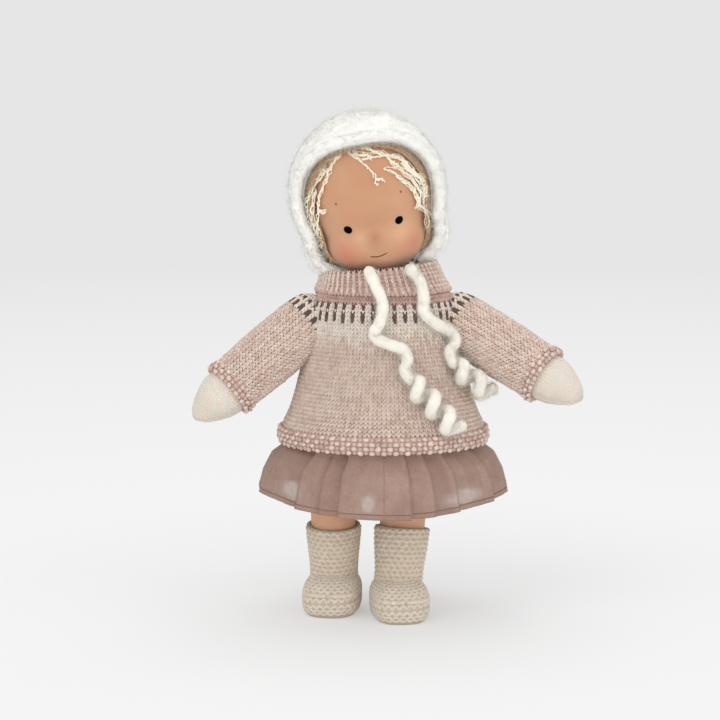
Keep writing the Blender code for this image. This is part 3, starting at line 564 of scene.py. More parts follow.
def copies(name: str, points: np.ndarray, faces: np.ndarray, tints: np.ndarray) -> bpy.types.Mesh:
    """Makes one mesh of many copies of a small shape.

    Args:
        name: The mesh's name.
        points: Copies by corners by three.
        faces: The triangles of one copy.
        tints: One colour for each copy.

    Returns:
        The mesh, with its tint attribute.
    """
    count, corners = points.shape[:2]
    every = (faces[None] + np.arange(count)[:, None, None] * corners).reshape(-1, 3)
    mesh = bpy.data.meshes.new(name)
    mesh.vertices.add(count * corners)
    mesh.vertices.foreach_set("co", points.reshape(-1).astype(np.float32))
    mesh.loops.add(len(every) * 3)
    mesh.loops.foreach_set("vertex_index", every.reshape(-1).astype(np.int32))
    mesh.polygons.add(len(every))
    mesh.polygons.foreach_set("loop_start", np.arange(0, len(every) * 3, 3, dtype=np.int32))
    mesh.update(calc_edges=True)
    colour = np.concatenate([tints, np.ones((count, 1))], 1)
    layer = mesh.attributes.new("tint", "FLOAT_COLOR", "POINT")
    layer.data.foreach_set("color", np.repeat(colour, corners, 0).reshape(-1).astype(np.float32))
    return mesh


def thickened(corners: np.ndarray, share: float) -> np.ndarray:
    """Copies made larger about their own middles."""
    middle = corners.mean(axis=1, keepdims=True)
    return middle + (corners - middle) * share


def varied(colour: Colour, count: int, spread: float, rng: np.random.Generator) -> np.ndarray:
    """The same colour many times, a little lighter or darker each time."""
    return np.array(colour)[None] * (1 + rng.normal(0, spread, (count, 1))).clip(0.4, 1.6)


@dataclass
class Fabric:
    """Stitches laid on a surface in rows and columns."""

    surface: Surface
    columns: int
    rows: np.ndarray
    stitch: float
    step: float
    seed: int = 1
    lift: float = 0.0

    def grid(self) -> tuple[np.ndarray, np.ndarray, np.ndarray, np.ndarray]:
        """Column and row of every stitch, and its turn and distance along."""
        column, row = np.meshgrid(np.arange(self.columns), np.arange(len(self.rows)))
        column, row = column.ravel(), row.ravel()
        return column, row, column / self.columns * TURN, self.rows[row]

    def lay(self, kind: Stitch, turn: np.ndarray, along: np.ndarray, lean: np.ndarray, wide: np.ndarray,
            rise: Any = 0.0) -> np.ndarray:
        """Places a grain for each stitch.

        Args:
            kind: Its shape.
            turn: Where it is round the surface.
            along: Where it is along the surface.
            lean: Its angle from straight up.
            wide: The stitch's real width there.
            rise: How far off the surface its middle is.

        Returns:
            The corners of every copy.
        """
        rng = np.random.default_rng(self.seed)
        points, _ = grain()
        count = len(turn)
        across, up = self.surface.ways(turn, along)
        out = unit(np.cross(across, up))
        across_half, up_half, out_half = kind.value
        flat = np.ones(count)
        size = np.stack([wide * across_half, flat * self.step * up_half, flat * self.stitch * out_half], -1)
        size = size * (1 + rng.normal(0, 0.06, (count, 1)))
        lean = lean + rng.normal(0, 0.07, count)
        local = points[None] * size[:, None]
        cos, sin = np.cos(lean)[:, None], np.sin(lean)[:, None]
        x = local[..., 0] * cos + local[..., 1] * sin
        y = local[..., 1] * cos - local[..., 0] * sin
        z = local[..., 2] - 0.22 * local[..., 1]
        middle = self.surface.spot(turn, along, self.lift + rise + rng.normal(0, 0.00008, count))
        made = middle[:, None]
        for part, axis in ((x, across), (y, up), (z, out)):
            made = made + part[..., None] * axis[:, None]
        return made

    def width(self, along: np.ndarray, turn: np.ndarray) -> np.ndarray:
        """How wide a stitch is there."""
        step = TURN / self.columns
        span = self.surface.bare(turn + step / 2, along) - self.surface.bare(turn - step / 2, along)
        return np.linalg.norm(span, axis=-1)

    def plain(self, keep_it: Callable | None = None) -> tuple[np.ndarray, np.ndarray, np.ndarray]:
        """Smooth-side stitches: two leaning grains to a stitch, as a V.

        Args:
            keep_it: Says of column, row, turn and along which stitches to lay.

        Returns:
            The corners, and the column and row, of every grain.
        """
        column, row, turn, along = self.grid()
        if keep_it is not None:
            chosen = keep_it(column, row, turn, along)
            column, row, turn, along = (part[chosen] for part in (column, row, turn, along))
        wide = self.width(along, turn)
        quarter = TURN / self.columns * 0.205
        left = self.lay(Stitch.PLAIN, turn - quarter, along, np.full(len(turn), -0.40), wide)
        right = self.lay(Stitch.PLAIN, turn + quarter, along, np.full(len(turn), 0.40), wide)
        return np.concatenate([left, right]), np.tile(column, 2), np.tile(row, 2)

    def purl(self) -> tuple[np.ndarray, np.ndarray]:
        """Rough-side bumps, each lying across its column.

        Returns:
            The corners, and the column, of every bump.
        """
        column, _, turn, along = self.grid()
        return self.lay(Stitch.PURL, turn, along, np.zeros(len(turn)), self.width(along, turn)), column


def mapped_grid(across: int, along: int) -> tuple[bmesh.types.BMesh, np.ndarray]:
    """A flat grid with a flat map, and each corner's shares of its two sides."""
    form = bmesh.new()
    bmesh.ops.create_grid(form, x_segments=across, y_segments=along, size=0.5)
    layer = form.loops.layers.uv.new("map")
    shares = spots_of(form.verts)[:, :2] + 0.5
    for face in form.faces:
        for loop in face.loops:
            loop[layer].uv = shares[loop.vert.index]
    return form, shares


def spun(surface: Surface, first: float, last: float, wall: float, around: int, along: int,
         closed: bool = False) -> bmesh.types.BMesh:
    """A wall of even thickness that follows a surface.

    Args:
        surface: What it follows.
        first: Where it starts along the surface.
        last: Where it ends.
        wall: Its thickness, on the inner side.
        around: Steps round it.
        along: Steps along it.
        closed: Whether its ends are capped and it has no inside.

    Returns:
        The wall's shape, with a flat map.
    """
    form, shares = mapped_grid(around, along)
    put(form.verts, surface.spot(shares[:, 0] * TURN, first + (last - first) * shares[:, 1]))
    bmesh.ops.remove_doubles(form, verts=form.verts, dist=0.00001)
    if closed:
        rim = [edge for edge in form.edges if edge.is_boundary]
        bmesh.ops.holes_fill(form, edges=rim, sides=0)
    bmesh.ops.recalc_face_normals(form, faces=form.faces)
    if not closed:
        bmesh.ops.solidify(form, geom=form.faces[:], thickness=wall)
    return form


def rope(points: np.ndarray, radii: np.ndarray, sides: int = 8) -> bmesh.types.BMesh:
    """A round strand along points, with its own radius at each.

    Args:
        points: The strand's middle line.
        radii: Its radius at each point.
        sides: Corners round it.

    Returns:
        The strand, closed at its ends.
    """
    form = bmesh.new()
    ways = unit(np.gradient(points, axis=0))
    side = unit(np.cross(ways[0], (0.13, 0.97, 0.2)))
    sides_at = []
    for way in ways:
        side = unit(side - way * np.dot(side, way))
        sides_at.append(side)
    around = np.linspace(0, TURN, sides, endpoint=False)
    previous = None
    for place, way, across, radius in zip(points, ways, sides_at, radii):
        other = np.cross(way, across)
        ring = [form.verts.new(place + radius * (math.cos(a) * across + math.sin(a) * other)) for a in around]
        if previous is None:
            form.faces.new(ring[::-1])
        else:
            for index in range(sides):
                after = (index + 1) % sides
                form.faces.new((previous[index], previous[after], ring[after], ring[index]))
        previous = ring
    form.faces.new(previous)
    bmesh.ops.recalc_face_normals(form, faces=form.faces)
    return form


def curve_through(points: Sequence[Sequence[float]], steps: int) -> np.ndarray:
    """Points of a smooth curve through the given ones."""
    knots = [np.array(point, float) for point in points]
    knots = [2 * knots[0] - knots[1]] + knots + [2 * knots[-1] - knots[-2]]
    found = []
    for before, start, end, after in zip(knots, knots[1:], knots[2:], knots[3:]):
        for step in range(steps):
            t = step / steps
            found.append((2 * start + (end - before) * t + (2 * before - 5 * start + 4 * end - after) * t**2
                          + (3 * start - before - 3 * end + after) * t**3) / 2)
    return np.array(found + [knots[-2]])


def lengths(line: np.ndarray) -> np.ndarray:
    """How far along a line each of its points is."""
    return np.concatenate([[0.0], np.cumsum(np.linalg.norm(np.diff(line, axis=0), axis=1))])


def lumps(rows: np.ndarray, length: float, seed: int) -> np.ndarray:
    """Soft unevenness at points, mostly within 1 of nothing, that repeats after about a length."""
    rng = np.random.default_rng(seed)
    ways = unit(rng.normal(0, 1, (14, 3))) * rng.uniform(0.7, 1.4, (14, 1)) * TURN / length
    return np.sin(rows @ ways.T + rng.uniform(0, TURN, 14)).sum(axis=1) / 5


def round_cord(line: np.ndarray, span: tuple[int, int], count: int, radius: float,
               rng: np.random.Generator) -> tuple[np.ndarray, np.ndarray]:
    """Places at random on a cord's skin, and which way is out there.

    Args:
        line: The cord's middle line.
        span: The first step of it that takes places, and the one after the last.
        count: How many places.
        radius: How far from the line they lie.
        rng: The source of its draws.

    Returns:
        The places, and the unit directions out.
    """
    pick = rng.integers(*span, count)
    step = line[pick + 1] - line[pick]
    out = unit(np.cross(unit(step), rng.normal(0, 1, (count, 3))))
    return line[pick] + step * rng.uniform(0, 1, (count, 1)) + out * radius, out


def fuzz(name: str, roots: np.ndarray, outs: np.ndarray, length: tuple[float, float], thick: float,
         spread: float, colour: Colour, seed: int, curl: float = 0.5) -> bpy.types.Mesh:
    """Fine hairs standing off a surface.

    Args:
        name: The mesh's name.
        roots: Where each hair starts.
        outs: Which way the surface faces there.
        length: The shortest and longest hair.
        thick: A hair's radius.
        spread: How far hairs lean over, from 0 for upright.
        colour: Their colour.
        seed: The random seed.
        curl: How much they bend.

    Returns:
        A mesh of all the hairs.
    """
    rng = np.random.default_rng(seed)
    points, faces = fibre()
    count = len(roots)
    way = unit(outs + rng.normal(0, spread, (count, 3)))
    bend = unit(np.cross(way, rng.normal(0, 1, (count, 3))))
    other = np.cross(way, bend)
    long = rng.uniform(length[0], length[1], count)[:, None]
    t = points[None, :, 2]
    arch = curl * long * t * t * rng.uniform(0.4, 1.3, (count, 1))
    x = points[None, :, 0] * thick + arch
    y = points[None, :, 1] * thick
    z = t * long - 0.35 * arch
    made = roots[:, None]
    for part, axis in ((x, bend), (y, other), (z, way)):
        made = made + part[..., None] * axis[:, None]
    return copies(name, made, faces, varied(colour, count, 0.05, rng))


# Head

NECK = Vector((-0.0046, 0.0, 0.250))
HEAD = Matrix.Translation(NECK) @ Matrix.Rotation(-math.radians(11.0), 4, "Y")


def to_world(matrix: Matrix, rows: np.ndarray) -> np.ndarray:
    """Rows of points taken from a frame to the doll's own."""
    return rows @ np.array(matrix.to_3x3()).T + np.array(matrix.translation)


@dataclass
class Head:
    """The stuffed head: skin, nose and embroidered face."""

    half: tuple[float, float, float] = (0.0405, 0.0435, 0.0490)
    rise: float = 0.0480
    cheek: float = 0.05
    jaw: tuple[float, float] = (0.0370, 0.0379)
    jaw_rise: float = 0.0240
    jaw_drop: float = 0.0308
    dent: float = 0.0010
    eye_rise: float = 0.0288
    eye_spacing: float = 0.0354
    eye_radius: float = 0.0031
    nose_rise: float = 0.0192
    nose_proud: float = 0.0056
    mouth_rise: float = 0.0080
    brow_rise: float = 0.0478
    brow_spacing: float = 0.0448
    skin: Colour = paint(212, 164, 130)
    skin_deep: Colour = paint(202, 149, 114)

    def section(self, rise: np.ndarray) -> tuple[np.ndarray, np.ndarray]:
        """The head's half width and half depth at heights: a ball over a fuller, squarer jaw."""
        up = (rise - self.rise) / self.half[2]
        full = np.sqrt(np.maximum(0.0, 1 - up**2))
        wide = self.half[0] * full * (1 + self.cheek * np.exp(-(((up + 0.45) / 0.40) ** 2)))
        drop = np.clip((self.jaw_rise - rise) / self.jaw_drop, 0, 1)
        round_off = (1 - drop**2.3) ** (1 / 2.3)
        share = np.clip((rise - self.jaw_rise + 0.008) / 0.020, 0, 1)
        share = share * share * (3 - 2 * share)
        low_wide, low_deep = (size * round_off * (1 - share) for size in self.jaw)
        return wide * share + low_wide, self.half[1] * full * share + low_deep

    def front(self, across: np.ndarray, rise: np.ndarray, lift: Any = 0.0) -> np.ndarray:
        """Points of the face in the head's own frame.

        Args:
            across: Distances towards the doll's left.
            rise: Heights over the neck's pivot.
            lift: How far in front of the skin.

        Returns:
            One row for each point.
        """
        across, rise = np.asarray(across, float), np.asarray(rise, float)
        wide, deep = self.section(rise)
        temple = 0.0062 * np.clip((np.abs(across) - 0.026) / 0.016, 0, 1)
        wide = wide + temple * (np.asarray(lift) > 0.0004)
        depth = deep * np.sqrt(np.maximum(0.03, 1 - (across / wide) ** 2))
        depth = depth - self.bulge(across, rise, depth / self.half[1])
        return np.stack([across, -depth - lift, rise + 0 * across], -1)

    def bulge(self, across: np.ndarray, rise: np.ndarray, front: np.ndarray) -> np.ndarray:
        """How far the eye thread draws the face in, less how far the nose stands out."""
        line = np.exp(-(((rise - self.eye_rise) / 0.0070) ** 2))
        aside, over = np.abs(across) - self.eye_spacing / 2, rise - self.eye_rise
        pit = np.exp(-((aside / 0.006) ** 2) - (over / 0.006) ** 2)
        nose = np.exp(-((across / 0.0062) ** 2) - ((rise - self.nose_rise) / 0.0054) ** 2)
        return (self.dent * line + 0.0008 * pit) * front - self.nose_proud * nose * (front > 0.3)

    def build(self) -> None:
        """Makes the skin and the face's stitches."""
        spot = lambda x, z: tuple(to_world(HEAD, self.front(x, z)))
        # Face spots: real pink blush on both cheeks; painted shade over the forehead, on the nose and, warm, under
        # the chin; painted highlights over the chin, on the doll's left cheek and beside the nose.
        pink, nose_shade = paint(212, 128, 106), paint(174, 120, 88)
        light, forehead_shade = paint(240, 192, 156), paint(196, 146, 112)
        nose = self.nose_rise
        blushes_and_painted_light = ((spot(0.0, 0.0600), 0.0450, 0.95, forehead_shade), (spot(0.006, -0.0020), 0.0260, 0.60, light),
                   (spot(0.0, -0.0062), 0.0170, 0.75, paint(240, 148, 98)),
                   (spot(0.0190, 0.0200), 0.0200, 0.45, light), (spot(-0.0110, nose + 0.0030), 0.0100, 0.40, light),
                   (spot(-0.0225, 0.0110), 0.0195, 0.88, pink), (spot(0.0245, 0.0120), 0.0185, 0.74, pink),
                   (spot(-0.0005, nose + 0.0016), 0.0085, 0.75, nose_shade))
        finish = Jersey("face_jersey", self.skin, self.skin_deep, 210.0, 190.0, 0.16, blushes_and_painted_light).make()
        form = bmesh.new()
        bmesh.ops.create_uvsphere(form, u_segments=128, v_segments=96, radius=1.0, calc_uvs=True)
        ways = spots_of(form.verts)
        below = self.rise - self.jaw_rise + self.jaw_drop
        rise = self.rise + ways[:, 2] * np.where(ways[:, 2] > 0, self.half[2], below)
        wide, deep = self.section(rise)
        level = np.maximum(np.hypot(ways[:, 0], ways[:, 1]), 1e-9)
        local = np.stack([wide * ways[:, 0] / level, deep * ways[:, 1] / level, rise], -1)
        local[:, 1] += self.bulge(local[:, 0], rise, np.maximum(0.0, -local[:, 1] / self.half[1]))
        put(form.verts, to_world(HEAD, local))
        keep("head_cover", form, finish, "head", ("head_skin", "head_wool"))
        self.eyes()
        self.mouth()

    def dot(self, name: str, across: float, rise: float, radius: float, proud: float,
            finish: bpy.types.Material, threads: int, node: str, slot: str) -> None:
        """A round satin-stitched spot of radiating threads over a low dome."""
        places = self.front(np.array([across, across + 0.001, across]), np.array([rise, rise, rise + 0.001]))
        side, up = unit(places[1] - places[0]), unit(places[2] - places[0])
        out = unit(np.cross(up, side)) * -1.0
        out = out if out[1] < 0 else -out
        up = unit(np.cross(out, side))
        form = bmesh.new()
        bmesh.ops.create_uvsphere(form, u_segments=40, v_segments=20, radius=1.0)
        for corner in form.verts:
            x, y, z = corner.co
            turn = math.atan2(y, x)
            groove = 1 + 0.035 * math.cos(turn * threads) * math.hypot(x, y)
            place = places[0] + radius * groove * (x * side + y * up) + proud * z * out
            corner.co = HEAD @ Vector(place)
        bmesh.ops.recalc_face_normals(form, faces=form.faces)
        keep(name, form, finish, "head", (node,))

    def eyes(self) -> None:
        """Two black eyes and two tiny brow stitches."""
        black = Thread("eye_thread", paint(9, 5, 3), 0.7, 0.02).make()
        brown = Thread("brow_thread", paint(150, 100, 70), 0.8).make()
        for side, label in ((1, "left"), (-1, "right")):
            self.dot("eye_satin_" + label, side * self.eye_spacing / 2, self.eye_rise, self.eye_radius, 0.0011,
                     black, 20, "eye_" + label, "dark_embroidery")
            self.dot("brow_dot_" + label, side * self.brow_spacing / 2, self.brow_rise, 0.0009, 0.0005,
                     brown, 8, "brow_stitch_" + label, "brown_thread")

    def mouth(self) -> None:
        """A small stitched smile."""
        finish = Thread("mouth_thread", paint(128, 72, 48), 0.8).make()
        across = np.array([-0.0062, -0.0045, -0.0020, 0.0008, 0.0036, 0.0058])
        rise = self.mouth_rise + np.array([0.0000, -0.0006, -0.0010, -0.0009, -0.0003, 0.0006])
        line = curve_through(to_world(HEAD, self.front(across, rise, 0.0001)), 6)
        radii = 0.00042 * np.interp(np.linspace(0, 1, len(line)), (0, 0.15, 0.8, 1), (0.5, 1, 1, 0.4))
        keep("mouth_smile", rope(line, radii, 7), finish, "head", ("mouth_stitch",))


@dataclass
class Hood(Surface):
    """A cup round the back of the head, from its front edge to its back pole."""

    half: tuple[float, float, float]
    centre: tuple[float, float, float]
    edges: tuple[float, float, float]
    flare: float = 0.62
    sag: float = 0.0

    def front_angle(self, turn: np.ndarray) -> np.ndarray:
        """The edge's angle from straight ahead, at a turn from the top round the face."""
        top, side, bottom = (math.radians(angle) for angle in self.edges)
        level = np.cos(turn)
        return side + (np.where(level > 0, top, bottom) - side) * level * level

    def bare(self, turn: np.ndarray, along: np.ndarray) -> np.ndarray:
        """Points of it: along runs from 0 at the front edge to 1 at the back pole."""
        first = self.front_angle(turn)
        angle = first + (math.pi - first) * along
        wide = np.sin(angle)
        rise = self.half[2] * wide * np.cos(turn) + self.centre[2]
        low = self.flare * np.clip((0.030 - rise) / 0.036, 0, 1.2) ** 1.6
        local = np.stack([
            self.half[0] * wide * np.sin(turn) * (1 + low) + self.centre[0],
            -self.half[1] * np.cos(angle) * (1 + 0.4 * low) + self.centre[1],
            rise - self.sag * np.clip((0.022 - rise) / 0.028, 0, 1) ** 2,
        ], -1)
        return to_world(HEAD, local)


STRANDS = (
    ((-11.0, 85.5), (-15.5, 81.1), (-20.3, 77.4), (-23.3, 71.8), (-28.8, 64.3), (-33.1, 56.4), (-35.0, 49.1),
     (-32.1, 47.3), (-29.7, 48.2)),
    ((-21.5, 75.8), (-28.4, 71.1), (-34.2, 65.0), (-41.2, 56.9), (-43.5, 53.1), (-43.0, 47.4), (-43.5, 40.2),
     (-42.8, 32.8), (-42.6, 26.9), (-40.6, 25.1)),
    ((-34.5, 49.1), (-36.7, 41.5), (-39.3, 33.6), (-37.3, 27.9), (-38.6, 21.1)),
    ((-34.5, 63.3), (-38.6, 54.1), (-41.0, 44.8), (-40.6, 36.9), (-40.3, 31.4)),
    ((-8.3, 85.2), (-3.8, 80.5), (0.8, 75.5), (4.4, 70.5), (7.2, 66.5), (8.3, 62.7), (11.0, 62.5), (12.9, 60.3)),
    ((1.1, 77.1), (4.9, 78.1), (10.3, 77.6), (15.7, 77.0)),
    ((7.4, 62.9), (6.9, 60.8), (8.1, 59.2)),
    ((-0.8, 86.5), (6.0, 83.7), (10.9, 80.6), (15.8, 77.7), (23.4, 74.4), (28.9, 70.1), (31.6, 64.9), (35.9, 58.8),
     (39.6, 55.7)),
    ((17.3, 76.1), (22.5, 69.6), (26.1, 65.1), (30.6, 60.0), (33.9, 53.4), (35.5, 47.3), (34.1, 40.4), (37.2, 32.8),
     (38.1, 28.2), (35.6, 22.1)),
    ((14.2, 69.2), (19.0, 65.8), (21.3, 63.9)),
    ((21.2, 63.0), (24.8, 58.4), (29.3, 53.4), (31.8, 47.0), (33.3, 40.7), (30.7, 37.0)),
    ((27.1, 69.9), (31.3, 63.3), (36.4, 56.8), (39.3, 52.6), (39.1, 47.3), (37.4, 40.7)),
    ((-4.6, 85.5), (-1.7, 81.8), (3.3, 79.2), (8.7, 79.0)),
    ((-13.1, 84.1), (-18.2, 81.4), (-23.0, 80.0), (-26.5, 76.0), (-31.2, 71.0), (-36.3, 65.6)),
)
LOCKS = (3, 4, 2, 4, 1, 1, 0, 7, 7, 2, 6, 7, 4, 5)


@dataclass
class Hair:
    """A tan cap of combed yarn with loose cream curls of boucle over the forehead."""

    head: Head
    cap: Hood = field(default_factory=lambda: Hood((0.0450, 0.0462, 0.0505), (0.0, 0.0, 0.048), (43.0, 60.0, 84.0)))
    base: Colour = paint(226, 190, 146)
    light: Colour = paint(255, 246, 226)
    dark: Colour = paint(204, 162, 116)
    shares: tuple[float, float, float] = (0.45, 0.25, 0.30)
    ends: int = 5200
    lower: float = 0.0034

    def kinked(self, line: np.ndarray, rng: np.random.Generator, size: float) -> np.ndarray:
        """A line with the small uneven crimps of boucle."""
        steps = len(line)
        place = np.linspace(0, 1, steps)[:, None]
        shift = np.zeros((steps, 3))
        for waves in (9, 17, 29, 41):
            phase = rng.uniform(0, TURN, (1, 3))
            wave = np.sin(place * waves * TURN * steps / 220 + phase)
            shift += rng.normal(0, 1, (1, 3)) * wave / math.sqrt(waves / 9)
        return line + shift * size

    def strand(self, route: Sequence, rng: np.random.Generator, shift: float, size: float) -> bmesh.types.BMesh:
        """One strand laid on the face, shifted a little from its route."""
        points = np.array(route) / 1000.0 - np.array((0.0, self.lower))
        drift = rng.normal(0, 1, 2) * shift
        grow = np.linspace(0.3, 1.0, len(points))[:, None]
        points = points + drift * grow + rng.normal(0, shift * 0.25, points.shape)
        line = curve_through(points, 14)
        local = self.head.front(line[:, 0], line[:, 1], 0.0009 + rng.uniform(0, 0.0006))
        local = self.kinked(local, rng, 0.00042 if size > 0.0003 else 0.0003)
        steps = np.linspace(0, 1, len(local))
        radii = size * (1 + 0.35 * np.sin(steps * len(local) * 0.9 + rng.uniform(0, 6)))
        radii *= np.interp(steps, (0, 0.05, 0.9, 1), (0.5, 1, 1, 0.45))
        return rope(to_world(HEAD, local), radii, 6)

    def build(self) -> None:
        """Makes the cap, its combed yarn and the loose curls."""
        yarn = Yarn("boucle_yarn", 0.85, 0.4, (1.0, 0.95, 0.85), 3000.0, 0.0002).make()
        cap = Tree("hair_cap_yarn")
        fine = cap.noise(900.0, 4.0)
        cap.set(Base_Color=cap.mix(fine, paint(190, 148, 104), paint(236, 204, 162)), Roughness=0.9, Sheen_Weight=0.2)
        cap.set(Normal=cap.bump(fine, 0.8, 0.0012))
        form = spun(self.cap, 0.0, 0.985, 0.0014, 96, 48)
        keep("hair_cap", form, cap.material, "head", ("wig_cap",))
        self.combed(yarn)
        rng = np.random.default_rng(7)
        whole = bmesh.new()
        for route, locks in zip(STRANDS, LOCKS):
            for index in range(locks + 1):
                size = 0.00050 if index == 0 else rng.uniform(0.00020, 0.00038)
                mesh = mesh_of("strand", self.strand(route, rng, 0.0 if index == 0 else 0.0016, size))
                whole.from_mesh(mesh)
                bpy.data.meshes.remove(mesh)
        keep("hair_curls", whole, yarn, "head", colour=self.light)

    def combed(self, finish: bpy.types.Material) -> None:
        """Short yarn ends that break up the cap's edge round the face."""
        rng = np.random.default_rng(11)
        count = self.ends
        turn = rng.uniform(-2.6, 2.6, count)
        along = rng.beta(1.0, 5.0, count) * 0.35
        roots = self.cap.spot(turn, along, -0.0002)
        across, up = self.cap.ways(turn, along)
        out = unit(np.cross(across, up))
        down, aside = rng.uniform(0.2, 1.0, (count, 1)), rng.normal(0, 0.8, (count, 1))
        lean = unit(-up * down + across * aside + out * 0.16)
        mesh = fuzz("hair_ends", roots, lean, (0.0020, 0.0062), 0.00014, 0.10, self.base, 13, 0.35)
        colours = np.array([self.base, self.light, self.dark])
        self.repaint(mesh, colours[rng.choice(3, count, p=self.shares)])
        show("hair_ends", mesh, finish, "head")

    def repaint(self, mesh: bpy.types.Mesh, tints: np.ndarray) -> None:
        """Gives each hair of a mesh its own colour."""
        corners = len(mesh.vertices) // len(tints)
        colour = np.concatenate([tints, np.ones((len(tints), 1))], 1)
        flat = np.repeat(colour, corners, 0).reshape(-1).astype(np.float32)
        mesh.attributes["tint"].data.foreach_set("color", flat)


@dataclass
class Bonnet:
    """A mohair hood with a rolled edge, deep in fuzz."""

    shell: Hood = field(default_factory=lambda: Hood(
        (0.0549, 0.0564, 0.0559), (0.0, 0.001, 0.050), (46.4, 70.2, 83.6), 0.74, 0.0056))
    wall: float = 0.0066
    brim: float = 0.0040
    neck: float = 0.0240
    neck_top: float = 0.0135
    chin_gap: float = 0.0230
    roll_hairs: int = 10500
    halo_hairs: int = 11900
    white: Colour = paint(252, 251, 246)

    def opened(self, local: np.ndarray) -> np.ndarray:
        """Whether points, in the head's frame, lie where the hood is cut away for neck and chin."""
        low = local[:, 2] < self.neck_top
        near = np.hypot(local[:, 0], local[:, 1]) < self.neck
        chin = (np.abs(local[:, 0]) < self.chin_gap / 2) & (local[:, 1] < 0)
        return low & (near | chin)

    def local(self, rows: np.ndarray) -> np.ndarray:
        """World points taken into the head's frame."""
        return to_world(HEAD.inverted(), rows)

    def build(self) -> None:
        """Makes the knitted shell, its edge and its fuzz."""
        wool = Yarn("mohair_yarn", 0.95, 0.9, (1.0, 0.99, 0.97), 1800.0, 0.0004).make()
        form = bmesh.new()
        for depth, steps in ((0.0004, (200, 140)), (self.wall, (90, 50))):
            layer = bmesh.ops.create_grid(form, x_segments=steps[0], y_segments=steps[1], size=0.5)["verts"]
            shares = spots_of(layer) + 0.5
            turn, along = shares[:, 0] * TURN, shares[:, 1] * 0.995
            rows = np.sin(along * 26 * TURN) * (0.6 + 0.4 * np.sin(turn * 52))
            uneven = lumps(self.shell.bare(turn, along), 0.011, 4)
            flat = np.clip(np.minimum(along * 12, (0.97 - along) * 8), 0, 1)
            tucked = self.brim * 0.8 * np.clip(1 - along / 0.025, 0, 1)
            full = 0.0018 * np.exp(-(((along - 0.022) / 0.036) ** 2))
            relief = (0.0004 * rows + 0.0007 * uneven) * flat + full
            put(layer, self.shell.spot(turn, along, relief - depth - tucked))
        bmesh.ops.remove_doubles(form, verts=form.verts, dist=0.00002)
        self.cut(form)
        bmesh.ops.recalc_face_normals(form, faces=form.faces)
        keep("bonnet_hood", form, wool, "head", ("bonnet_shell",), self.white)
        self.edge(wool)
        self.halo(wool)

    def cut(self, form: bmesh.types.BMesh) -> None:
        """Opens the hood for the neck and under the chin, with a smooth edge."""
        inner = HEAD.inverted()
        inside = []
        for corner in form.verts:
            place = inner @ corner.co
            if place.z > self.neck_top:
                continue
            near = math.hypot(place.x, place.y)
            if near < self.neck * 0.75 or (abs(place.x) < self.chin_gap * 0.36 and place.y < 0):
                inside.append(corner)
            elif near < self.neck:
                scale = self.neck / near
                corner.co = HEAD @ Vector((place.x * scale, place.y * scale, place.z))
        bmesh.ops.delete(form, geom=inside, context="VERTS")

    def edge(self, wool: bpy.types.Material) -> None:
        """The rolled edge round the face."""
        half = tuple(size - self.brim * 0.62 for size in self.shell.half)
        middle = Hood(half, self.shell.centre, (46.2, 70.0, 84.0), self.shell.flare, self.shell.sag)
        reach = math.pi - 0.32
        turn = np.linspace(-reach, reach, 260)
        line = middle.bare(turn, np.zeros(260))
        radii = self.brim * (1 + 0.08 * lumps(line, 0.009, 9))
        radii[:6] *= np.linspace(0.4, 1, 6)
        radii[-6:] *= np.linspace(1, 0.4, 6)
        keep("bonnet_roll", rope(line, radii, 14), wool, "head", ("bonnet_brim",), self.white)
        roots, out = round_cord(line, (0, 258), self.roll_hairs, self.brim * 0.9, np.random.default_rng(5))
        mesh = fuzz("bonnet_roll_fuzz", roots, out, (0.0016, 0.0056), 0.00010, 0.8, self.white, 6, 0.9)
        show("bonnet_roll_fuzz", mesh, wool, "head")

    def halo(self, wool: bpy.types.Material) -> None:
        """Fine hairs all over the hood."""
        rng = np.random.default_rng(3)
        for label in ("first", "second", "third"):
            turn = rng.uniform(0, TURN, self.halo_hairs)
            along = np.arccos(1 - 2 * rng.uniform(0.0, 1.0, self.halo_hairs)) / math.pi
            along = np.clip(along, 0, 0.99)
            roots = self.shell.spot(turn, along, -0.0002)
            shut = ~self.opened(self.local(roots))
            turn, along, roots = turn[shut], along[shut], roots[shut]
            name, seed = "bonnet_fuzz_" + label, int(rng.integers(99))
            outs = self.shell.out(turn, along)
            mesh = fuzz(name, roots, outs, (0.0018, 0.0052), 0.00010, 1.0, self.white, seed, 0.9)
            show(name, mesh, wool, "head")


# Sweater

TORSO_SIDE = -0.003
UPRIGHT = Matrix.Translation((TORSO_SIDE, 0.0, 0.0))


@dataclass(frozen=True)
class Palette:
    """Yarn colours of the clothes, with painted shade for their hollows, grounds and sunk stitches."""

    body: Colour = paint(222, 202, 189)
    fleck: Colour = paint(209, 184, 170)
    rose: Colour = paint(204, 172, 160)
    brown: Colour = paint(101, 77, 67)
    cream: Colour = paint(232, 221, 210)
    bootie: Colour = paint(222, 207, 188)
    sole: Colour = paint(223, 211, 195)
    # Painted shade for the bootie's sunk rows and the layer beneath them.
    hollow_shade: Colour = paint(200, 183, 164)
    shade: Colour = paint(188, 160, 147)
    collar: Colour = paint(225, 206, 193)
    # The next two: painted shade of the collar's ground and of its sunk ribs.
    collar_ground_shade: Colour = paint(196, 162, 150)
    collar_sunk_shade: Colour = paint(196, 163, 152)
    collar_ridge: Colour = paint(202, 170, 159)
    seed: Colour = paint(224, 203, 191)
    # Painted shade for the seed stitch's low bumps.
    seed_low_shade: Colour = paint(208, 181, 168)
    hem_thread: Colour = paint(128, 96, 84)


PALETTE = Palette()


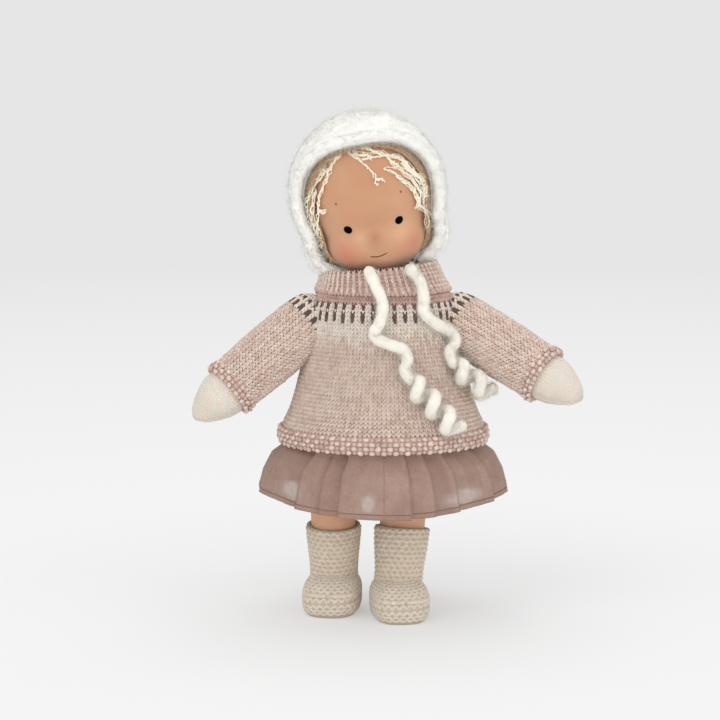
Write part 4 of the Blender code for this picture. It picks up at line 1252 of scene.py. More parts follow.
@dataclass
class Sweater:
    """The flared body with its patterned yoke, ribbed collar and seed-stitch hem."""

    gauge: float = 0.0039
    row: float = 0.00288
    depth: float = 0.80
    outline: tuple = (
        (0.1353, 0.0705), (0.1452, 0.0653), (0.1566, 0.0616), (0.1688, 0.0587), (0.1825, 0.0550), (0.1943, 0.0522),
        (0.2110, 0.0520), (0.2208, 0.0504), (0.2307, 0.0463),
    )
    hem: tuple = ((0.1230, 0.0718), (0.1260, 0.0735), (0.1320, 0.0735), (0.1350, 0.0712))
    collar: tuple = ((0.2300, 0.0466), (0.2330, 0.0464), (0.2370, 0.0440), (0.2430, 0.0420), (0.2475, 0.0400))
    columns: int = 132
    ribs: int = 118
    arm_bore: float = 0.0185

    def surface(self) -> Tube:
        """The body's surface."""
        return Tube(UPRIGHT, self.outline, self.depth)

    def yoke(self, column: np.ndarray, row: np.ndarray, tints: np.ndarray, rng: np.random.Generator) -> np.ndarray:
        """Pale rows at the yoke, a rose one over them, and the brown motif."""
        below = len(self.heights()) - 1 - row
        pale = (below < 8) | ((below < 13) & (rng.uniform(size=len(row)) < (13 - below) / 6))
        tints[pale] = varied(PALETTE.cream, int(pale.sum()), 0.045, rng)
        tints[below < 2] = varied(PALETTE.rose, int((below < 2).sum()), 0.06, rng)
        dark = self.motif(column, below)
        tints[dark] = varied(PALETTE.brown, int(dark.sum()), 0.12, rng)
        return tints

    def motif(self, column: np.ndarray, below: np.ndarray) -> np.ndarray:
        """Which stitches are brown: a row of dots over a row of taller marks, on every third column."""
        return (column % 3 == 0) & ((below == 2) | (below == 4) | (below == 5))

    def heights(self) -> np.ndarray:
        """The height of every row of the body."""
        return np.arange(0.1362, 0.2300, self.row)

    def flecked(self, count: int, rng: np.random.Generator, share: float = 0.22) -> np.ndarray:
        """Cream yarn with pinker stitches here and there."""
        tints = varied(PALETTE.body, count, 0.045, rng)
        pink = rng.uniform(size=count) < share
        tints[pink] = varied(PALETTE.fleck, int(pink.sum()), 0.045, rng)
        return tints

    def armhole(self, turn: np.ndarray, along: np.ndarray) -> np.ndarray:
        """Whether a place on the body lies under a sleeve."""
        spots = self.surface().bare(turn, along)
        hidden = np.zeros(len(turn), bool)
        for side, way in zip((1, -1), ARM_WAYS):
            offset = spots - np.array(arm_root(side))
            reach = offset @ np.array(way)
            off = np.linalg.norm(offset - reach[:, None] * np.array(way), axis=1)
            hidden |= (off < self.arm_bore) & (reach > -0.014)
        return hidden

    def build(self) -> None:
        """Makes the body, collar and hem."""
        rng = np.random.default_rng(21)
        yarn = Yarn("sweater_yarn").make()
        ground = Yarn("sweater_ground_yarn", 0.95, 0.1).make()
        surface = self.surface()
        form = spun(surface, 0.1346, 0.2304, 0.0022, 120, 48)
        self.sink(form, 0.0007)
        keep("sweater_ground", form, ground, "torso",
             ("sweater_body", "torso_skin", "torso_wool"), PALETTE.shade)
        fabric = Fabric(surface, self.columns, self.heights(), self.gauge, self.row * 1.30, 22)
        for label, front in (("front", True), ("back", False)):
            inside = lambda c, r, t, a: ((np.sin(t) < 0) == front) & ~self.armhole(t, a)
            corners, column, row = fabric.plain(inside)
            tints = self.yoke(column, row, self.flecked(len(corners), rng), rng)
            dark = self.motif(column, len(fabric.rows) - 1 - row)
            corners[dark] = thickened(corners[dark], 1.50)
            mesh = copies("sweater_stitches_" + label, corners, grain()[1], tints)
            show("sweater_stitches_" + label, mesh, yarn, "torso")
        self.collar_rib(yarn, ground, rng)
        self.hem_band(yarn, ground, rng)

    def sink(self, form: bmesh.types.BMesh, depth: float) -> None:
        """Draws a wall in a little, so that the stitches lie over it."""
        for corner in form.verts:
            side = Vector((corner.co.x - TORSO_SIDE, corner.co.y, 0.0))
            corner.co -= side.normalized() * depth

    def collar_rib(self, yarn: Any, ground: Any, rng: np.random.Generator) -> None:
        """The collar: one plain column, one sunk, round and round, over a ridge of bumps."""
        surface = LeaningTube(UPRIGHT, self.collar, 0.86, lean=0.085, raised=-0.0006, shift=-0.0032)
        form = spun(surface, 0.2302, 0.2472, 0.0028, 96, 14)
        self.sink(form, 0.0010)
        # The ground seen between the ribs is painted in shade.
        keep("collar_ground_shade", form, ground, "torso", ("sweater_collar",), PALETTE.collar_ground_shade)
        rib = Fabric(surface, self.ribs, np.arange(0.2322, 0.2472, 0.0025), 0.0040, 0.0034, 23, -0.0002)
        corners, _, _ = rib.plain(lambda c, r, t, a: c % 2 == 0)
        tints = varied(PALETTE.collar, len(corners), 0.08, rng)
        between = Fabric(surface, self.ribs, np.arange(0.2330, 0.2465, 0.0025), 0.0036, 0.0040, 24, -0.0009)
        sunk, column = between.purl()
        sunk = sunk[column % 2 == 1]
        ridge = Fabric(surface, 96, np.array([0.2312]), 0.0040, 0.0052, 25, 0.0003)
        bumps, _ = ridge.purl()
        # The sunk ribs are painted in shade.
        low = varied(PALETTE.collar_sunk_shade, len(sunk), 0.08, rng)
        scallop = varied(PALETTE.collar_ridge, len(bumps), 0.09, rng)
        mesh = copies("collar_stitches", np.concatenate([corners, sunk, bumps]), grain()[1],
                      np.concatenate([tints, low, scallop]))
        show("collar_stitches", mesh, yarn, "torso")

    def hem_band(self, yarn: Any, ground: Any, rng: np.random.Generator) -> None:
        """The hem's seed stitch: bumps that alternate from row to row."""
        surface = Tube(UPRIGHT, self.hem, self.depth)
        form = spun(surface, 0.1232, 0.1350, 0.0038, 120, 10)
        self.sink(form, 0.0008)
        keep("hem_ground", form, ground, "torso", ("sweater_hem",), PALETTE.rose)
        mesh = seed_stitch("hem_stitches", surface, 112, np.arange(0.1243, 0.1352, 0.0030), rng)
        show("hem_stitches", mesh, yarn, "torso")


def seed_stitch(name: str, surface: Surface, columns: int, rows: np.ndarray,
                rng: np.random.Generator) -> bpy.types.Mesh:
    """A mesh of seed stitch: raised bumps on half the places, and small low ones, painted in shade, on the rest.

    Args:
        name: The mesh's name.
        surface: What it lies on.
        columns: Stitches round it.
        rows: Where its rows are.
        rng: The source of its variation.

    Returns:
        The mesh.
    """
    step = abs(rows[1] - rows[0])
    fabric = Fabric(surface, columns, rows, 0.0042, step * 1.75, 31)
    column, row, turn, along = fabric.grid()
    high = (column + row) % 2 == 0
    wide = fabric.width(along, turn) * np.where(high, 1.14, 0.95)
    lean, rise = rng.normal(0, 0.25, len(turn)), np.where(high, 0.0004, -0.0004)
    bumps = fabric.lay(Stitch.PURL, turn, along, lean, wide, rise)
    tints = varied(PALETTE.seed, len(bumps), 0.05, rng)
    pink = rng.uniform(size=len(bumps)) < 0.22
    tints[pink] = varied(PALETTE.rose, int(pink.sum()), 0.06, rng)
    # The low bumps are painted in shade.
    tints[~high] = varied(PALETTE.seed_low_shade, int((~high).sum()), 0.06, rng)
    return copies(name, bumps, grain()[1], tints)


# Arms

def arm_way(side: int, drop: float, forward: float) -> tuple[float, float, float]:
    """Which way an arm points at rest."""
    drop, forward = math.radians(drop), math.radians(forward)
    level = math.cos(forward)
    return (side * math.cos(drop) * level, -math.sin(forward), -math.sin(drop) * level)


ARM_WAYS = (arm_way(1, 30.4, 24.0), arm_way(-1, 39.0, 16.0))


def arm_root(side: int) -> tuple[float, float, float]:
    """Where an arm is sewn on."""
    return (TORSO_SIDE + side * 0.0482, 0.0, 0.2110)


@dataclass
class Arm:
    """One arm: its sleeve, cuff and mitten."""

    side: int
    label: str
    way: tuple[float, float, float]
    sleeve: tuple = ((-0.0130, 0.0030), (-0.0105, 0.0105), (-0.0060, 0.0158), (0.0000, 0.0186), (0.0080, 0.0196),
                     (0.0330, 0.0201), (0.0500, 0.0201), (0.0630, 0.0193), (0.0733, 0.0190))
    cuff: tuple = ((0.0730, 0.0192), (0.0768, 0.0203), (0.0806, 0.0196))
    mitten: tuple = ((0.0640, 0.0150), (0.0780, 0.0162), (0.0830, 0.0170), (0.0870, 0.0167), (0.0921, 0.0152),
                     (0.0988, 0.0121), (0.1055, 0.0082), (0.1093, 0.0048), (0.1110, 0.0004))
    columns: int = 36
    row: float = 0.00285
    jersey: Colour = paint(231, 222, 210)
    jersey_deep: Colour = paint(219, 208, 193)

    def matrix(self) -> Matrix:
        """The arm's frame: its pivot, with Z along the arm."""
        return frame_at(arm_root(self.side), self.way, (0, 1, 0))

    def build(self, sweater: Sweater) -> None:
        """Makes the sleeve, cuff and mitten."""
        rng = np.random.default_rng(40 + self.side)
        yarn = Yarn("sleeve_yarn_" + self.label).make()
        surface = Tube(self.matrix(), self.sleeve)
        form = spun(surface, -0.0120, 0.0732, 0.0018, 56, 34)
        self.shrink(form, 0.0006)
        self.join(keep("sleeve_ground_" + self.label, form, yarn, None,
                       ("sleeve_" + self.label, "arm_gather_" + self.label), PALETTE.shade))
        rows = np.arange(-0.0100, 0.0730, self.row)
        fabric = Fabric(surface, self.columns, rows, sweater.gauge, self.row * 1.30, 42 + self.side)
        corners, column, row = fabric.plain()
        tints = sweater.flecked(len(corners), rng, 0.34)
        pale = row < 7
        tints[pale] = varied(PALETTE.cream, int(pale.sum()), 0.045, rng)
        over = fabric.surface.out(column / fabric.columns * TURN, rows[row])[:, 2] > -0.25
        dark = over & (column % 2 == 0) & ((row == 3) | (row == 5) | (row == 6))
        tints[dark] = varied(PALETTE.brown, int(dark.sum()), 0.12, rng)
        mesh = copies("sleeve_stitches", corners, grain()[1], tints)
        self.join(show("sleeve_stitches_" + self.label, mesh, yarn, None))
        self.finish_cuff(yarn, rng)
        self.hand()

    def shrink(self, form: bmesh.types.BMesh, depth: float) -> None:
        """Draws a wall in towards the arm's own line."""
        start = self.matrix().translation
        way = Vector(self.way)
        for corner in form.verts:
            offset = corner.co - start
            across = offset - way * offset.dot(way)
            corner.co -= across.normalized() * depth

    def join(self, piece: bpy.types.Object) -> None:
        """Bakes a sleeve piece's place into its mesh."""
        start = self.matrix().translation
        way = Vector(self.way)
        "shoulder_" + self.label
        "arm_" + self.label
        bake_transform(piece)

    def finish_cuff(self, yarn: Any, rng: np.random.Generator) -> None:
        """The seed-stitch band at the sleeve's end."""
        surface = Tube(self.matrix(), self.cuff)
        form = spun(surface, 0.0732, 0.0806, 0.0022, 56, 6)
        self.shrink(form, 0.0007)
        body = "arm_" + self.label
        keep("cuff_ground_" + self.label, form, yarn, body, ("cuff_" + self.label,), PALETTE.rose)
        mesh = seed_stitch("cuff_stitches", surface, 34, np.arange(0.0742, 0.0810, 0.0029), rng)
        show("cuff_stitches_" + self.label, mesh, yarn, body)

    def hand(self) -> None:
        """The jersey mitten, a little flattened, with a seam down its side."""
        finish = Jersey("mitten_jersey_" + self.label, self.jersey, self.jersey_deep, 46.0, 30.0, 0.5).make()
        surface = Tube(self.matrix(), self.mitten)
        form = spun(surface, 0.0640, 0.1108, 0.0, 72, 44, True)
        start, way = self.matrix().translation, Vector(self.way)
        seam = (self.matrix().to_3x3() @ Vector((-0.55, self.side * -0.83, 0.0))).normalized()
        for corner in form.verts:
            offset = corner.co - start
            along = offset.dot(way)
            across = offset - way * along
            near = across.normalized().dot(seam) if across.length > 0.0001 else 0.0
            past_cuff = min(1.0, max(0.0, (along - 0.078) / 0.006))
            crease = math.exp(-(((1 - near) / 0.012) ** 2)) * 0.0009 * past_cuff
            wrinkle = 0.00012 * math.sin(along * 900 + near * 5)
            corner.co -= across.normalized() * (crease + wrinkle)
        nodes = tuple(part + self.label for part in ("mitten_", "arm_skin_", "arm_wool_"))
        keep("mitten_knit_" + self.label, form, finish, "arm_" + self.label, nodes)


# Skirt

PLEATS = (
    (-180.0, 1.2, -1.0), (-160.0, 1.4, -1.2), (-138.0, 1.2, -1.0), (-118.0, 1.5, -1.2), (-98.0, 1.3, -1.2),
    (-78.0, 1.6, -1.0), (-53.5, -0.4, -1.4), (-44.1, 1.8, -1.2), (-31.0, 0.8, -2.2), (-21.0, 2.2, 2.2),
    (12.4, -2.2, 0.8), (24.1, -1.2, 1.8), (36.3, -0.8, 2.2), (59.7, -1.4, 1.6), (80.0, -1.0, 1.4),
    (101.0, -1.2, 1.2), (121.0, -1.0, 1.5), (142.0, -1.2, 1.2), (162.0, -1.0, 1.2),
)
WINDOWS = {
    "left": (((0.228, 0.86), (0.088, 0.11)),),
    "right": (((0.725, 0.83), (0.055, 0.14)), ((0.960, 0.84), (0.024, 0.12))),
}

# Bands of painted fold shade over doubled cloth beside the pleats, for each half: middle, half width and share on its
# map.
DOUBLED_AND_FOLD_SHADE = {
    "left": ((0.158, 0.032, 0.42), (0.272, 0.030, 0.24)),
    "right": ((0.733, 0.030, 0.28), (0.842, 0.038, 0.22)),
}


@dataclass
class Skirt:
    """A sheer gathered skirt with a narrow stitched hem."""

    waist: float = 0.1464
    hem_height: float = 0.0800
    hem_lift: float = 0.0095
    half_width: float = 0.0870
    waist_width: float = 0.0405
    depth: float = 0.785
    outline: tuple = ((0.00, 0.00), (0.20, 0.45), (0.43, 0.56), (0.57, 0.80), (0.78, 0.93), (1.00, 1.00))
    thickness: float = 0.0005
    give: float = 0.42

    def folds(self, turn: np.ndarray, share: np.ndarray) -> np.ndarray:
        """How far the cloth stands in or out: a box pleat in front, and knife pleats round the rest."""
        front = np.degrees((turn + math.pi * 1.5) % TURN) - 180.0
        ends = [start for start, _, _ in PLEATS[1:]] + [180.0]
        knots = np.array([(start + 0.5, end - 0.5) for (start, _, _), end in zip(PLEATS, ends)]).ravel()
        heights = np.array([(first, last) for _, first, last in PLEATS]).ravel() * 0.0015
        pleat = np.interp(front, knots, heights)
        small = 0.00022 * np.sin(front * 0.83 + 5 * share) + 0.00016 * np.sin(front * 1.71 + 2)
        return (pleat + small) * (0.40 + 0.60 * np.clip(share / 0.45, 0, 1)) * (1 - 0.25 * share)

    def places(self, turn: np.ndarray, share: np.ndarray, shift: float = 0.0) -> np.ndarray:
        """Points of the cloth, at turns round it and shares of its drop."""
        rows = np.array(self.outline)
        wide = np.interp(share, rows[:, 0], rows[:, 1])
        radius = self.waist_width + (self.half_width - self.waist_width) * wide + self.folds(turn, share) + shift
        hem = self.hem_height + self.hem_lift * np.cos(turn) ** 2 + 0.0004 * np.sin(turn * 7 + 1)
        sway = -0.0061 * np.clip(1 - share / 0.42, 0, 1)
        return np.stack([TORSO_SIDE + sway + radius * np.cos(turn), radius * self.depth * np.sin(turn),
                         self.waist + (hem - self.waist) * share], -1)

    def half(self, name: str, first: float, body: str, finish: bpy.types.Material) -> None:
        """One half of the cloth, from the middle of the front to the middle of the back."""
        form, shares = mapped_grid(230, 64)
        put(form.verts, self.places(first + shares[:, 0] * math.pi, shares[:, 1]))
        bmesh.ops.recalc_face_normals(form, faces=form.faces)
        bmesh.ops.solidify(form, geom=form.faces[:], thickness=self.thickness)
        piece = keep(name, form, finish, None, ("skirt_cloth",))
        self.hang(piece, body)

    def hang(self, piece: bpy.types.Object, body: str) -> None:
        """Bakes the cloth's place into its mesh and reads its points."""
        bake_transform(piece)
        spots = np.empty(len(piece.data.vertices) * 3, np.float32)
        piece.data.vertices.foreach_get("co", spots)
        spots = spots.reshape(-1, 3)

    def build(self) -> None:
        """Makes both halves, the hem's thread and the waistband."""
        halves = (("left", -math.pi / 2), ("right", math.pi / 2))
        for label, first in halves:
            cloth = Gauze("skirt_gauze_" + label, paint(184, 153, 139), paint(158, 126, 112),
                          windows=WINDOWS[label], doubled_and_fold_shade=DOUBLED_AND_FOLD_SHADE[label])
            finish = cloth.make()
            self.half("skirt_gauze_" + label, first, "leg_" + label, finish)
            thread = Yarn("hem_thread_" + label, 0.8, 0.1).make()
            turn = first + np.linspace(0.002, 0.998, 420) * math.pi
            form = rope(self.places(turn, np.full(420, 0.945), 0.0004), np.full(420, 0.00042), 5)
            seam = keep("skirt_hem_thread_" + label, form, thread, None, colour=PALETTE.hem_thread)
            self.hang(seam, "leg_" + label)
        band = Thread("waistband_cloth", paint(140, 108, 94), 0.85).make()
        surface = Tube(UPRIGHT @ Matrix.Translation((-0.0062, 0, 0)), ((0.1460, 0.0405), (0.1590, 0.0400)), 0.73)
        form = spun(surface, 0.1462, 0.1588, 0.0020, 72, 8)
        keep("skirt_band", form, band, "torso", ("skirt_waistband",))


# Legs

@dataclass
class FootForm(Surface):
    """A bootie's foot: boxy, rounded and flat below; along runs from the sole's rim to the top."""

    matrix: Matrix
    grow: float
    bottom: float
    size: tuple[float, float, float] = (0.0155, 0.0215, 0.0200)
    round_share: float = 0.72
    sole_share: float = 0.75
    reach: float = 0.0085
    slope: float = 0.6

    def bare(self, turn: np.ndarray, along: np.ndarray) -> np.ndarray:
        """Points of the foot."""
        rise = -0.62 + (math.pi / 2 + 0.62) * along
        way = np.stack([np.cos(rise) * np.cos(turn), np.cos(rise) * np.sin(turn), np.sin(rise)], -1)
        return self.shaped(way)

    def shaped(self, way: np.ndarray) -> np.ndarray:
        """The foot's form over a ball's points."""
        high = (self.size[2] + 2 * self.grow) / (1 + self.sole_share)
        radii = np.array((self.size[0] + self.grow, self.size[1] + self.grow, high))
        local = np.sign(way) * np.abs(way) ** self.round_share * radii
        rise = np.maximum(0.0, local[..., 2]) / high
        local[..., 1] += rise * self.reach * self.slope
        floor = -high * self.sole_share
        local[..., 2] = np.maximum(local[..., 2], floor) + self.bottom - floor
        local[..., 1] -= self.reach
        return to_world(self.matrix, local)


@dataclass
class Leg:
    """One leg: its skin, and a garter-stitch bootie with a welt round the toe."""

    side: int
    label: str
    hip: tuple[float, float, float]
    ankle: tuple[float, float, float]
    radius: float = 0.0158
    top: float = 0.0620
    toe_turn: float = 9.0
    welt_stitches: int = 26
    welt_rise: float = 0.36
    skin: Colour = paint(239, 191, 154)
    skin_deep: Colour = paint(214, 163, 129)

    def matrix(self) -> Matrix:
        """The leg's frame: its hip, with Z down the leg."""
        return frame_at(self.hip, Vector(self.ankle) - Vector(self.hip), (1, 0, 0))

    def length(self) -> float:
        """From hip to ankle."""
        return (Vector(self.ankle) - Vector(self.hip)).length

    def build(self) -> None:
        """Makes the leg's skin and its bootie."""
        body = "leg_" + self.label
        long = self.length()
        ball = tuple((self.radius * -math.cos(a), self.radius * math.sin(a)) for a in np.linspace(0.05, 1.5, 8))
        rows = ball + ((long * 0.3, 0.0161), (long * 0.55, 0.0157), (long * 0.85, 0.0153), (long, 0.0147))
        surface = Tube(self.matrix(), rows)
        finish = Jersey("leg_jersey_" + self.label, self.skin, self.skin_deep, 70.0, 60.0, 0.22).make()
        form = spun(surface, -0.0157, long, 0.0, 72, 60, True)
        keep("leg_cover_" + self.label, form, finish, body,
             ("leg_skin_" + self.label, "leg_wool_" + self.label))
        self.bootie(body)

    def bootie(self, body: str) -> None:
        """Garter ridges round the shaft and the foot."""
        rng = np.random.default_rng(60 + self.side)
        yarn = Yarn("bootie_yarn_" + self.label, 0.93, 0.3).make()
        hip_z, ankle_z = self.hip[2], self.ankle[2]
        long = self.length()
        start = long * (hip_z - self.top) / (hip_z - ankle_z)
        shaft = Tube(self.matrix(), ((start, 0.0191), (long * 0.62, 0.0180), (long * 0.78, 0.0165),
                                     (long * 0.90, 0.0162), (long + 0.004, 0.0172)))
        form = spun(shaft, start, long + 0.003, 0.0026, 64, 24)
        # The shaft's under-layer, seen between the rows, is painted in shade.
        keep("bootie_leg_" + self.label, form, yarn, body,
             ("bootie_shaft_" + self.label,), PALETTE.hollow_shade)
        toed = Matrix.Rotation(self.side * math.radians(self.toe_turn), 4, "Z")
        shoe = FootForm(Matrix.Translation((self.ankle[0], self.ankle[1], 0.0)) @ toed, 0.0044, -0.0005)
        form = bmesh.new()
        bmesh.ops.create_uvsphere(form, u_segments=72, v_segments=48, radius=1.0)
        places = shoe.shaped(spots_of(form.verts))
        places[:, 2] = np.maximum(places[:, 2], 0.0)
        put(form.verts, places)
        bmesh.ops.recalc_face_normals(form, faces=form.faces)
        # The foot's under-layer is painted in shade too.
        keep("bootie_shoe_" + self.label, form, yarn, body,
             ("bootie_foot_" + self.label,), PALETTE.hollow_shade)
        self.ridges(shaft, shoe, start, long, yarn, body, rng)

    def ridges(self, shaft: Tube, shoe: FootForm, start: float, long: float, yarn: Any, body: str,
               rng: np.random.Generator) -> None:
        """Yarn wound over the shaft and the foot, and the welt round the toe."""
        rows = round((long - start) / 0.0036)
        parts = (
            ("ridges", shaft, start + 0.0012, long, rows, 23, 0.0008, -0.0002, 0.0012, PALETTE.bootie),
            # The valley rows are painted in shade; the ridges and rounds keep the yarn's colour.
            ("valleys", shaft, start + 0.0030, long, rows, 23, 0.0008, -0.0009, 0.0010, PALETTE.hollow_shade),
            ("rounds", shoe, 0.05, 0.86, 12, 29, 0.0190, -0.0003, 0.0011, PALETTE.sole),
        )
        for label, surface, first, last, turns, waves, swing, lift, thick, colour in parts:
            form = self.wound(surface, (first, last), turns, waves, swing, lift, thick, colour)
            keep("bootie_" + label + "_" + self.label, form, yarn, body)
        count, rise = self.welt_stitches, self.welt_rise
        turn = np.linspace(math.pi * 1.16, math.pi * 1.84, count)
        bow = 0.0010 * np.sin(np.linspace(0, math.pi, count)) - 0.0004
        welt = Fabric(shoe, 46, np.array([rise]), 0.0050, 0.0060, 64)
        raised = welt.lay(Stitch.PURL, turn, np.full(count, rise), np.zeros(count), np.full(count, 0.0040), bow)
        mesh = copies("bootie_welt", raised, grain()[1], varied(PALETTE.sole, count, 0.04, rng))
        show("bootie_welt_" + self.label, mesh, yarn, body)

    def wound(self, surface: Surface, span: tuple[float, float], turns: int, waves: int, swing: float, lift: float,
              thick: float, colour: Colour) -> bmesh.types.BMesh:
        """Yarn wound round a surface, each row's waves against the next row's.

        Args:
            surface: What it lies on.
            span: Where it starts and ends along the surface.
            turns: How often it goes round.
            waves: Waves in one turn, to which half a wave is added.
            swing: How far each wave goes either way.
            lift: How far off the surface its middle is.
            thick: Its radius.
            colour: Its colour.

        Returns:
            The yarn.
        """
        count = turns * waves * 8
        turn = np.linspace(0, turns, count) * TURN
        ring = np.linspace(0, TURN, 361)
        past = lengths(surface.bare(ring, np.full(361, span[0])))
        even = np.interp(turn % TURN / TURN * past[-1], past, ring) + turn // TURN * TURN
        line = surface.spot(even, np.linspace(*span, count) + swing * np.sin(turn * (waves + 0.5)), lift)
        line[:, 2] = np.maximum(line[:, 2], thick * 0.7)
        uneven = lumps(line, 0.004, 60 + self.side)
        form = rope(line, thick * (1 + 0.10 * uneven), 5)
        dye(form, np.array(colour) * np.repeat(1 + 0.05 * uneven, 5)[:, None])
        return form


# Bonnet ties

RIGHT_ROUTE = (
    (-0.0146, -0.0358, 0.2500), (-0.0088, -0.0420, 0.2377), (-0.0039, -0.0440, 0.2260), (-0.0053, -0.0461, 0.2139),
    (-0.0102, -0.0462, 0.2040), (-0.0011, -0.0465, 0.1984), (0.0102, -0.0456, 0.1941), (0.0130, -0.0464, 0.1870),
    (0.0112, -0.0492, 0.1800), (0.0150, -0.0527, 0.1745),
)
LEFT_ROUTE = (
    (0.0120, -0.0350, 0.2505), (0.0165, -0.0362, 0.2465), (0.0221, -0.0364, 0.2389), (0.0243, -0.0372, 0.2274),
    (0.0243, -0.0396, 0.2194), (0.0320, -0.0366, 0.2110), (0.0425, -0.0284, 0.2046), (0.0467, -0.0282, 0.1980),
    (0.0425, -0.0296, 0.1905), (0.0450, -0.0338, 0.1830),
)


@dataclass
class Tie:
    """A fuzzy knitted cord that hangs from the bonnet's corner and ends in curls."""

    label: str
    route: tuple
    end: tuple[float, float, float]
    curls: int
    radius: float = 0.0042
    curl: float = 0.0052
    hairs: int = 9500
    white: Colour = paint(250, 245, 234)

    def course(self, fine: int) -> np.ndarray:
        """The cord's middle line.

        Args:
            fine: Points to each of the route's steps.

        Returns:
            The points, from the bonnet to the tip.
        """
        line = list(curve_through(self.route, 2 * fine))
        start = line[-1]
        axis = np.array(self.end) - start
        way = unit(axis)
        side = unit(np.cross(way, (0, 1, 0)))
        front = np.cross(side, way)
        count = self.curls * 8 * fine
        for step in range(1, count + 1):
            turn = TURN * step / (8 * fine)
            ring = side * math.sin(turn) + front * math.cos(turn)
            opened = self.curl * min(1.0, step / (3 * fine))
            line.append(start + axis * step / count + ring * opened)
        last = unit(line[-1] - line[-2])
        return np.array(line + [line[-1] + last * self.radius * 2 * share for share in np.linspace(0.1, 1.0, 10)])

    def build(self) -> None:
        """Makes the cord and its fuzz."""
        wool = Yarn("tie_yarn_" + self.label, 0.95, 0.8, (1.0, 0.98, 0.95), 1800.0, 0.0004).make()
        line = self.course(5)
        for _ in range(3):
            line[1:-1] = line[1:-1] * 0.5 + (line[:-2] + line[2:]) * 0.25
        past = lengths(line)
        length = float(past[-1])
        near = np.clip(np.minimum(past, length - past) / self.radius, 0.02, 1)
        radii = self.radius * (0.95 + 0.07 * lumps(line, 0.006, 12)) * np.sqrt(1 - (1 - near) ** 2)
        cord = keep("tie_cord_" + self.label, rope(line, radii, 16), wool, None,
                    ("bonnet_tie_" + self.label,), self.white)
        self.hang(cord)
        rng = np.random.default_rng(70 + self.curls)
        roots, out = round_cord(line, (2, len(line) - 3), self.hairs, self.radius * 0.86, rng)
        mesh = fuzz("tie_fuzz", roots, out, (0.0012, 0.0042), 0.00009, 0.9, self.white, 71, 0.9)
        halo = show("tie_fuzz_" + self.label, mesh, wool, None)
        self.hang(halo)

    def hang(self, piece: bpy.types.Object) -> None:
        """Bakes the piece's place into its mesh."""
        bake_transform(piece)


@dataclass
class Neck:
    """The stub under the head and the thread that ties it off."""

    profile: tuple = ((-0.0245, 0.0144), (-0.0080, 0.0146), (0.0050, 0.0158), (0.0110, 0.0130), (0.0165, 0.0030))
    tie_radius: float = 0.0152
    tie_rise: float = -0.0131
    tie_pitch: float = 0.0012
    turns: float = 2.0

    def build(self) -> None:
        """Makes the neck's skin and its tie."""
        finish = Jersey("neck_jersey", paint(206, 150, 112), paint(188, 132, 96), 60.0, 30.0, 0.2).make()
        form = spun(Tube(Matrix.Translation(NECK), self.profile), -0.0244, 0.0168, 0.0, 48, 30, True)
        keep("neck_cover", form, finish, "neck", ("neck_stub",))
        turn = np.linspace(0, TURN * self.turns, 90)
        rise = self.tie_rise + self.tie_pitch * turn / TURN
        line = np.stack([self.tie_radius * np.cos(turn), self.tie_radius * np.sin(turn), rise], -1) + np.array(NECK)
        thread = Thread("neck_thread", paint(150, 104, 80), 0.7).make()
        keep("neck_thread", rope(line, np.full(90, 0.0006), 6), thread, "neck", ("neck_tie",))


# Studio and build

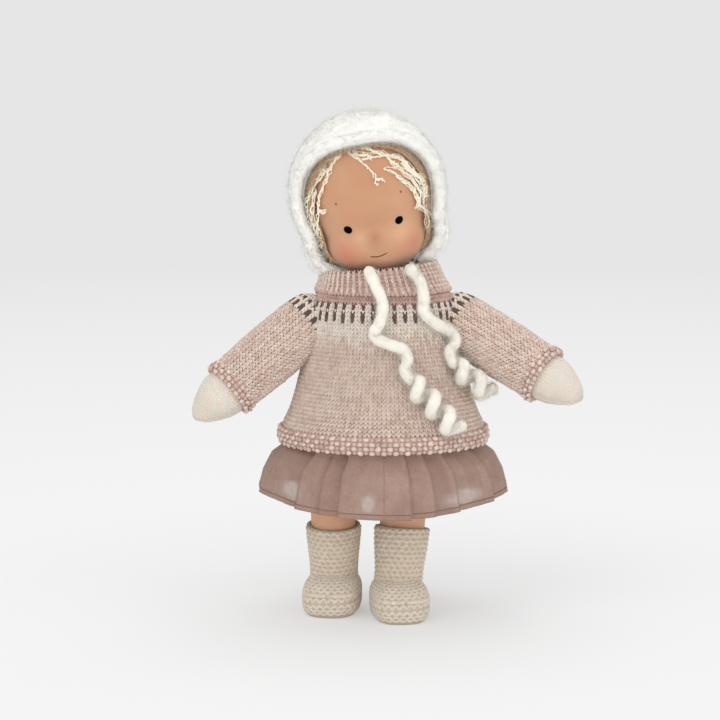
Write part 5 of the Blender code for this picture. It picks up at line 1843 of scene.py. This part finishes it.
@dataclass
class Studio:
    """A pale floor, soft lamps and the camera; the photograph's measures are in pixels of its width."""

    scale: float = 0.000703
    pixels: float = 720.0
    middle: float = 387.5
    ground: float = 613.8
    elevation: float = 8.3
    lens: float = 113.0
    background: float = 0.79
    ambient: float = 0.63
    floor_near: float = 0.93
    lamps: tuple = (("key", (-0.9, -1.1, 1.5), 1.2, 7.4), ("fill", (1.3, -0.9, 0.9), 1.4, 4.3),
                    ("top", (0.1, 0.5, 1.8), 1.4, 6.0), ("front", (0.1, -1.7, 0.30), 1.3, 9.0))

    def camera(self) -> None:
        """The camera, level with the photograph's view."""
        distance = self.lens / 36 * self.pixels * self.scale
        tilt = math.radians(self.elevation)
        half = self.pixels / 2
        target = Vector(((half - self.middle) * self.scale, 0.0, (self.ground - half) * self.scale / math.cos(tilt)))
        data = bpy.data.cameras.new("camera")
        data.lens, data.sensor_width, data.clip_start = self.lens, 36.0, 0.01
        eye = bpy.data.objects.new("camera", data)
        eye.location = target + distance * Vector((0.0, -math.cos(tilt), math.sin(tilt)))
        eye.rotation_euler = (math.pi / 2 - tilt, 0.0, 0.0)
        bpy.context.scene.collection.objects.link(eye)
        bpy.context.scene.camera = eye

    def lamp(self, name: str, where: Sequence[float], size: float, power: float) -> None:
        """A square soft lamp that faces the doll's middle."""
        data = bpy.data.lights.new(name, "AREA")
        data.shape, data.size, data.energy = "SQUARE", size, power
        lamp = bpy.data.objects.new(name, data)
        lamp.location = where
        lamp.rotation_euler = (Vector((0, 0, 0.17)) - Vector(where)).to_track_quat("-Z", "Y").to_euler()
        bpy.context.scene.collection.objects.link(lamp)

    def build(self) -> None:
        """Sets up floor, world and lamps."""
        scene = bpy.context.scene
        scene.view_settings.view_transform = "Standard"
        world = bpy.data.worlds.new("studio")
        scene.world = world
        world.use_nodes = True
        nodes, links = world.node_tree.nodes, world.node_tree.links
        back = nodes["Background"]
        back.inputs["Color"].default_value = (1.0, 1.0, 1.0, 1.0)
        path = nodes.new("ShaderNodeLightPath")
        seen = nodes.new("ShaderNodeMath")
        seen.operation = "MULTIPLY_ADD"
        links.new(path.outputs["Is Camera Ray"], seen.inputs[0])
        seen.inputs[1].default_value = self.background - self.ambient
        seen.inputs[2].default_value = self.ambient
        links.new(seen.outputs[0], back.inputs["Strength"])
        floor = Tree("studio_floor")
        floor.set(Base_Color=paint(244, 245, 245), Roughness=0.9)
        self.fade(floor)
        form = bmesh.new()
        bmesh.ops.create_grid(form, x_segments=1, y_segments=1, size=4.0)
        mesh = mesh_of("floor", form)
        mesh.materials.append(floor.material)
        ground = bpy.data.objects.new("floor", mesh)
        scene.collection.objects.link(ground)
        for lamp in self.lamps:
            self.lamp(*lamp)

    def fade(self, floor: Tree) -> None:
        """Lets the floor, as the camera sees it, pass into the background away from the doll."""
        near = floor.away((0.0, 0.0, 0.0), 2.4)
        share = floor.away((0.0, 0.0, 0.0), 0.42)
        level = near * (self.floor_near - self.background) + self.background
        glow = floor.node("ShaderNodeEmission", {}, {"Color": floor.grey(level)}, "Emission")
        path = floor.node("ShaderNodeLightPath", {}, {}, "Is Camera Ray")
        seen = (1.0 - (share * 1.6).clear() * 0.62) * path
        lit = Wire(floor, floor.shader.outputs[0])
        both = floor.node("ShaderNodeMixShader", {}, {0: seen, 1: lit, 2: glow})
        output = floor.nodes["Material Output"]
        floor.feed(output.inputs["Surface"], both)


def main() -> None:
    """Builds the doll from the camera and cords onwards."""
    logging.basicConfig(level=logging.INFO, format="%(message)s")
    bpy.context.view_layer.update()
    studio = Studio()
    studio.camera()
    for tie in (Tie("right", RIGHT_ROUTE, (0.0456, -0.0540, 0.1405), 3),
                Tie("left", LEFT_ROUTE, (0.0690, -0.0310, 0.1620), 2)):
        tie.build()
    studio.build()
    head, sweater = Head(), Sweater()
    for builder in (head, Hair(head), Bonnet(), Neck(), sweater, Skirt()):
        builder.build()
    for side, label, way in zip((1, -1), ("left", "right"), ARM_WAYS):
        Arm(side, label, way).build(sweater)
    for leg in (Leg(1, "left", (0.01315, 0.0, 0.09825), (0.0072, -0.0120, 0.0165)),
                Leg(-1, "right", (-0.03851, 0.0, 0.10204), (-0.0378, 0.0060, 0.0165))):
        leg.build()


if __name__ == "__main__":
    main()
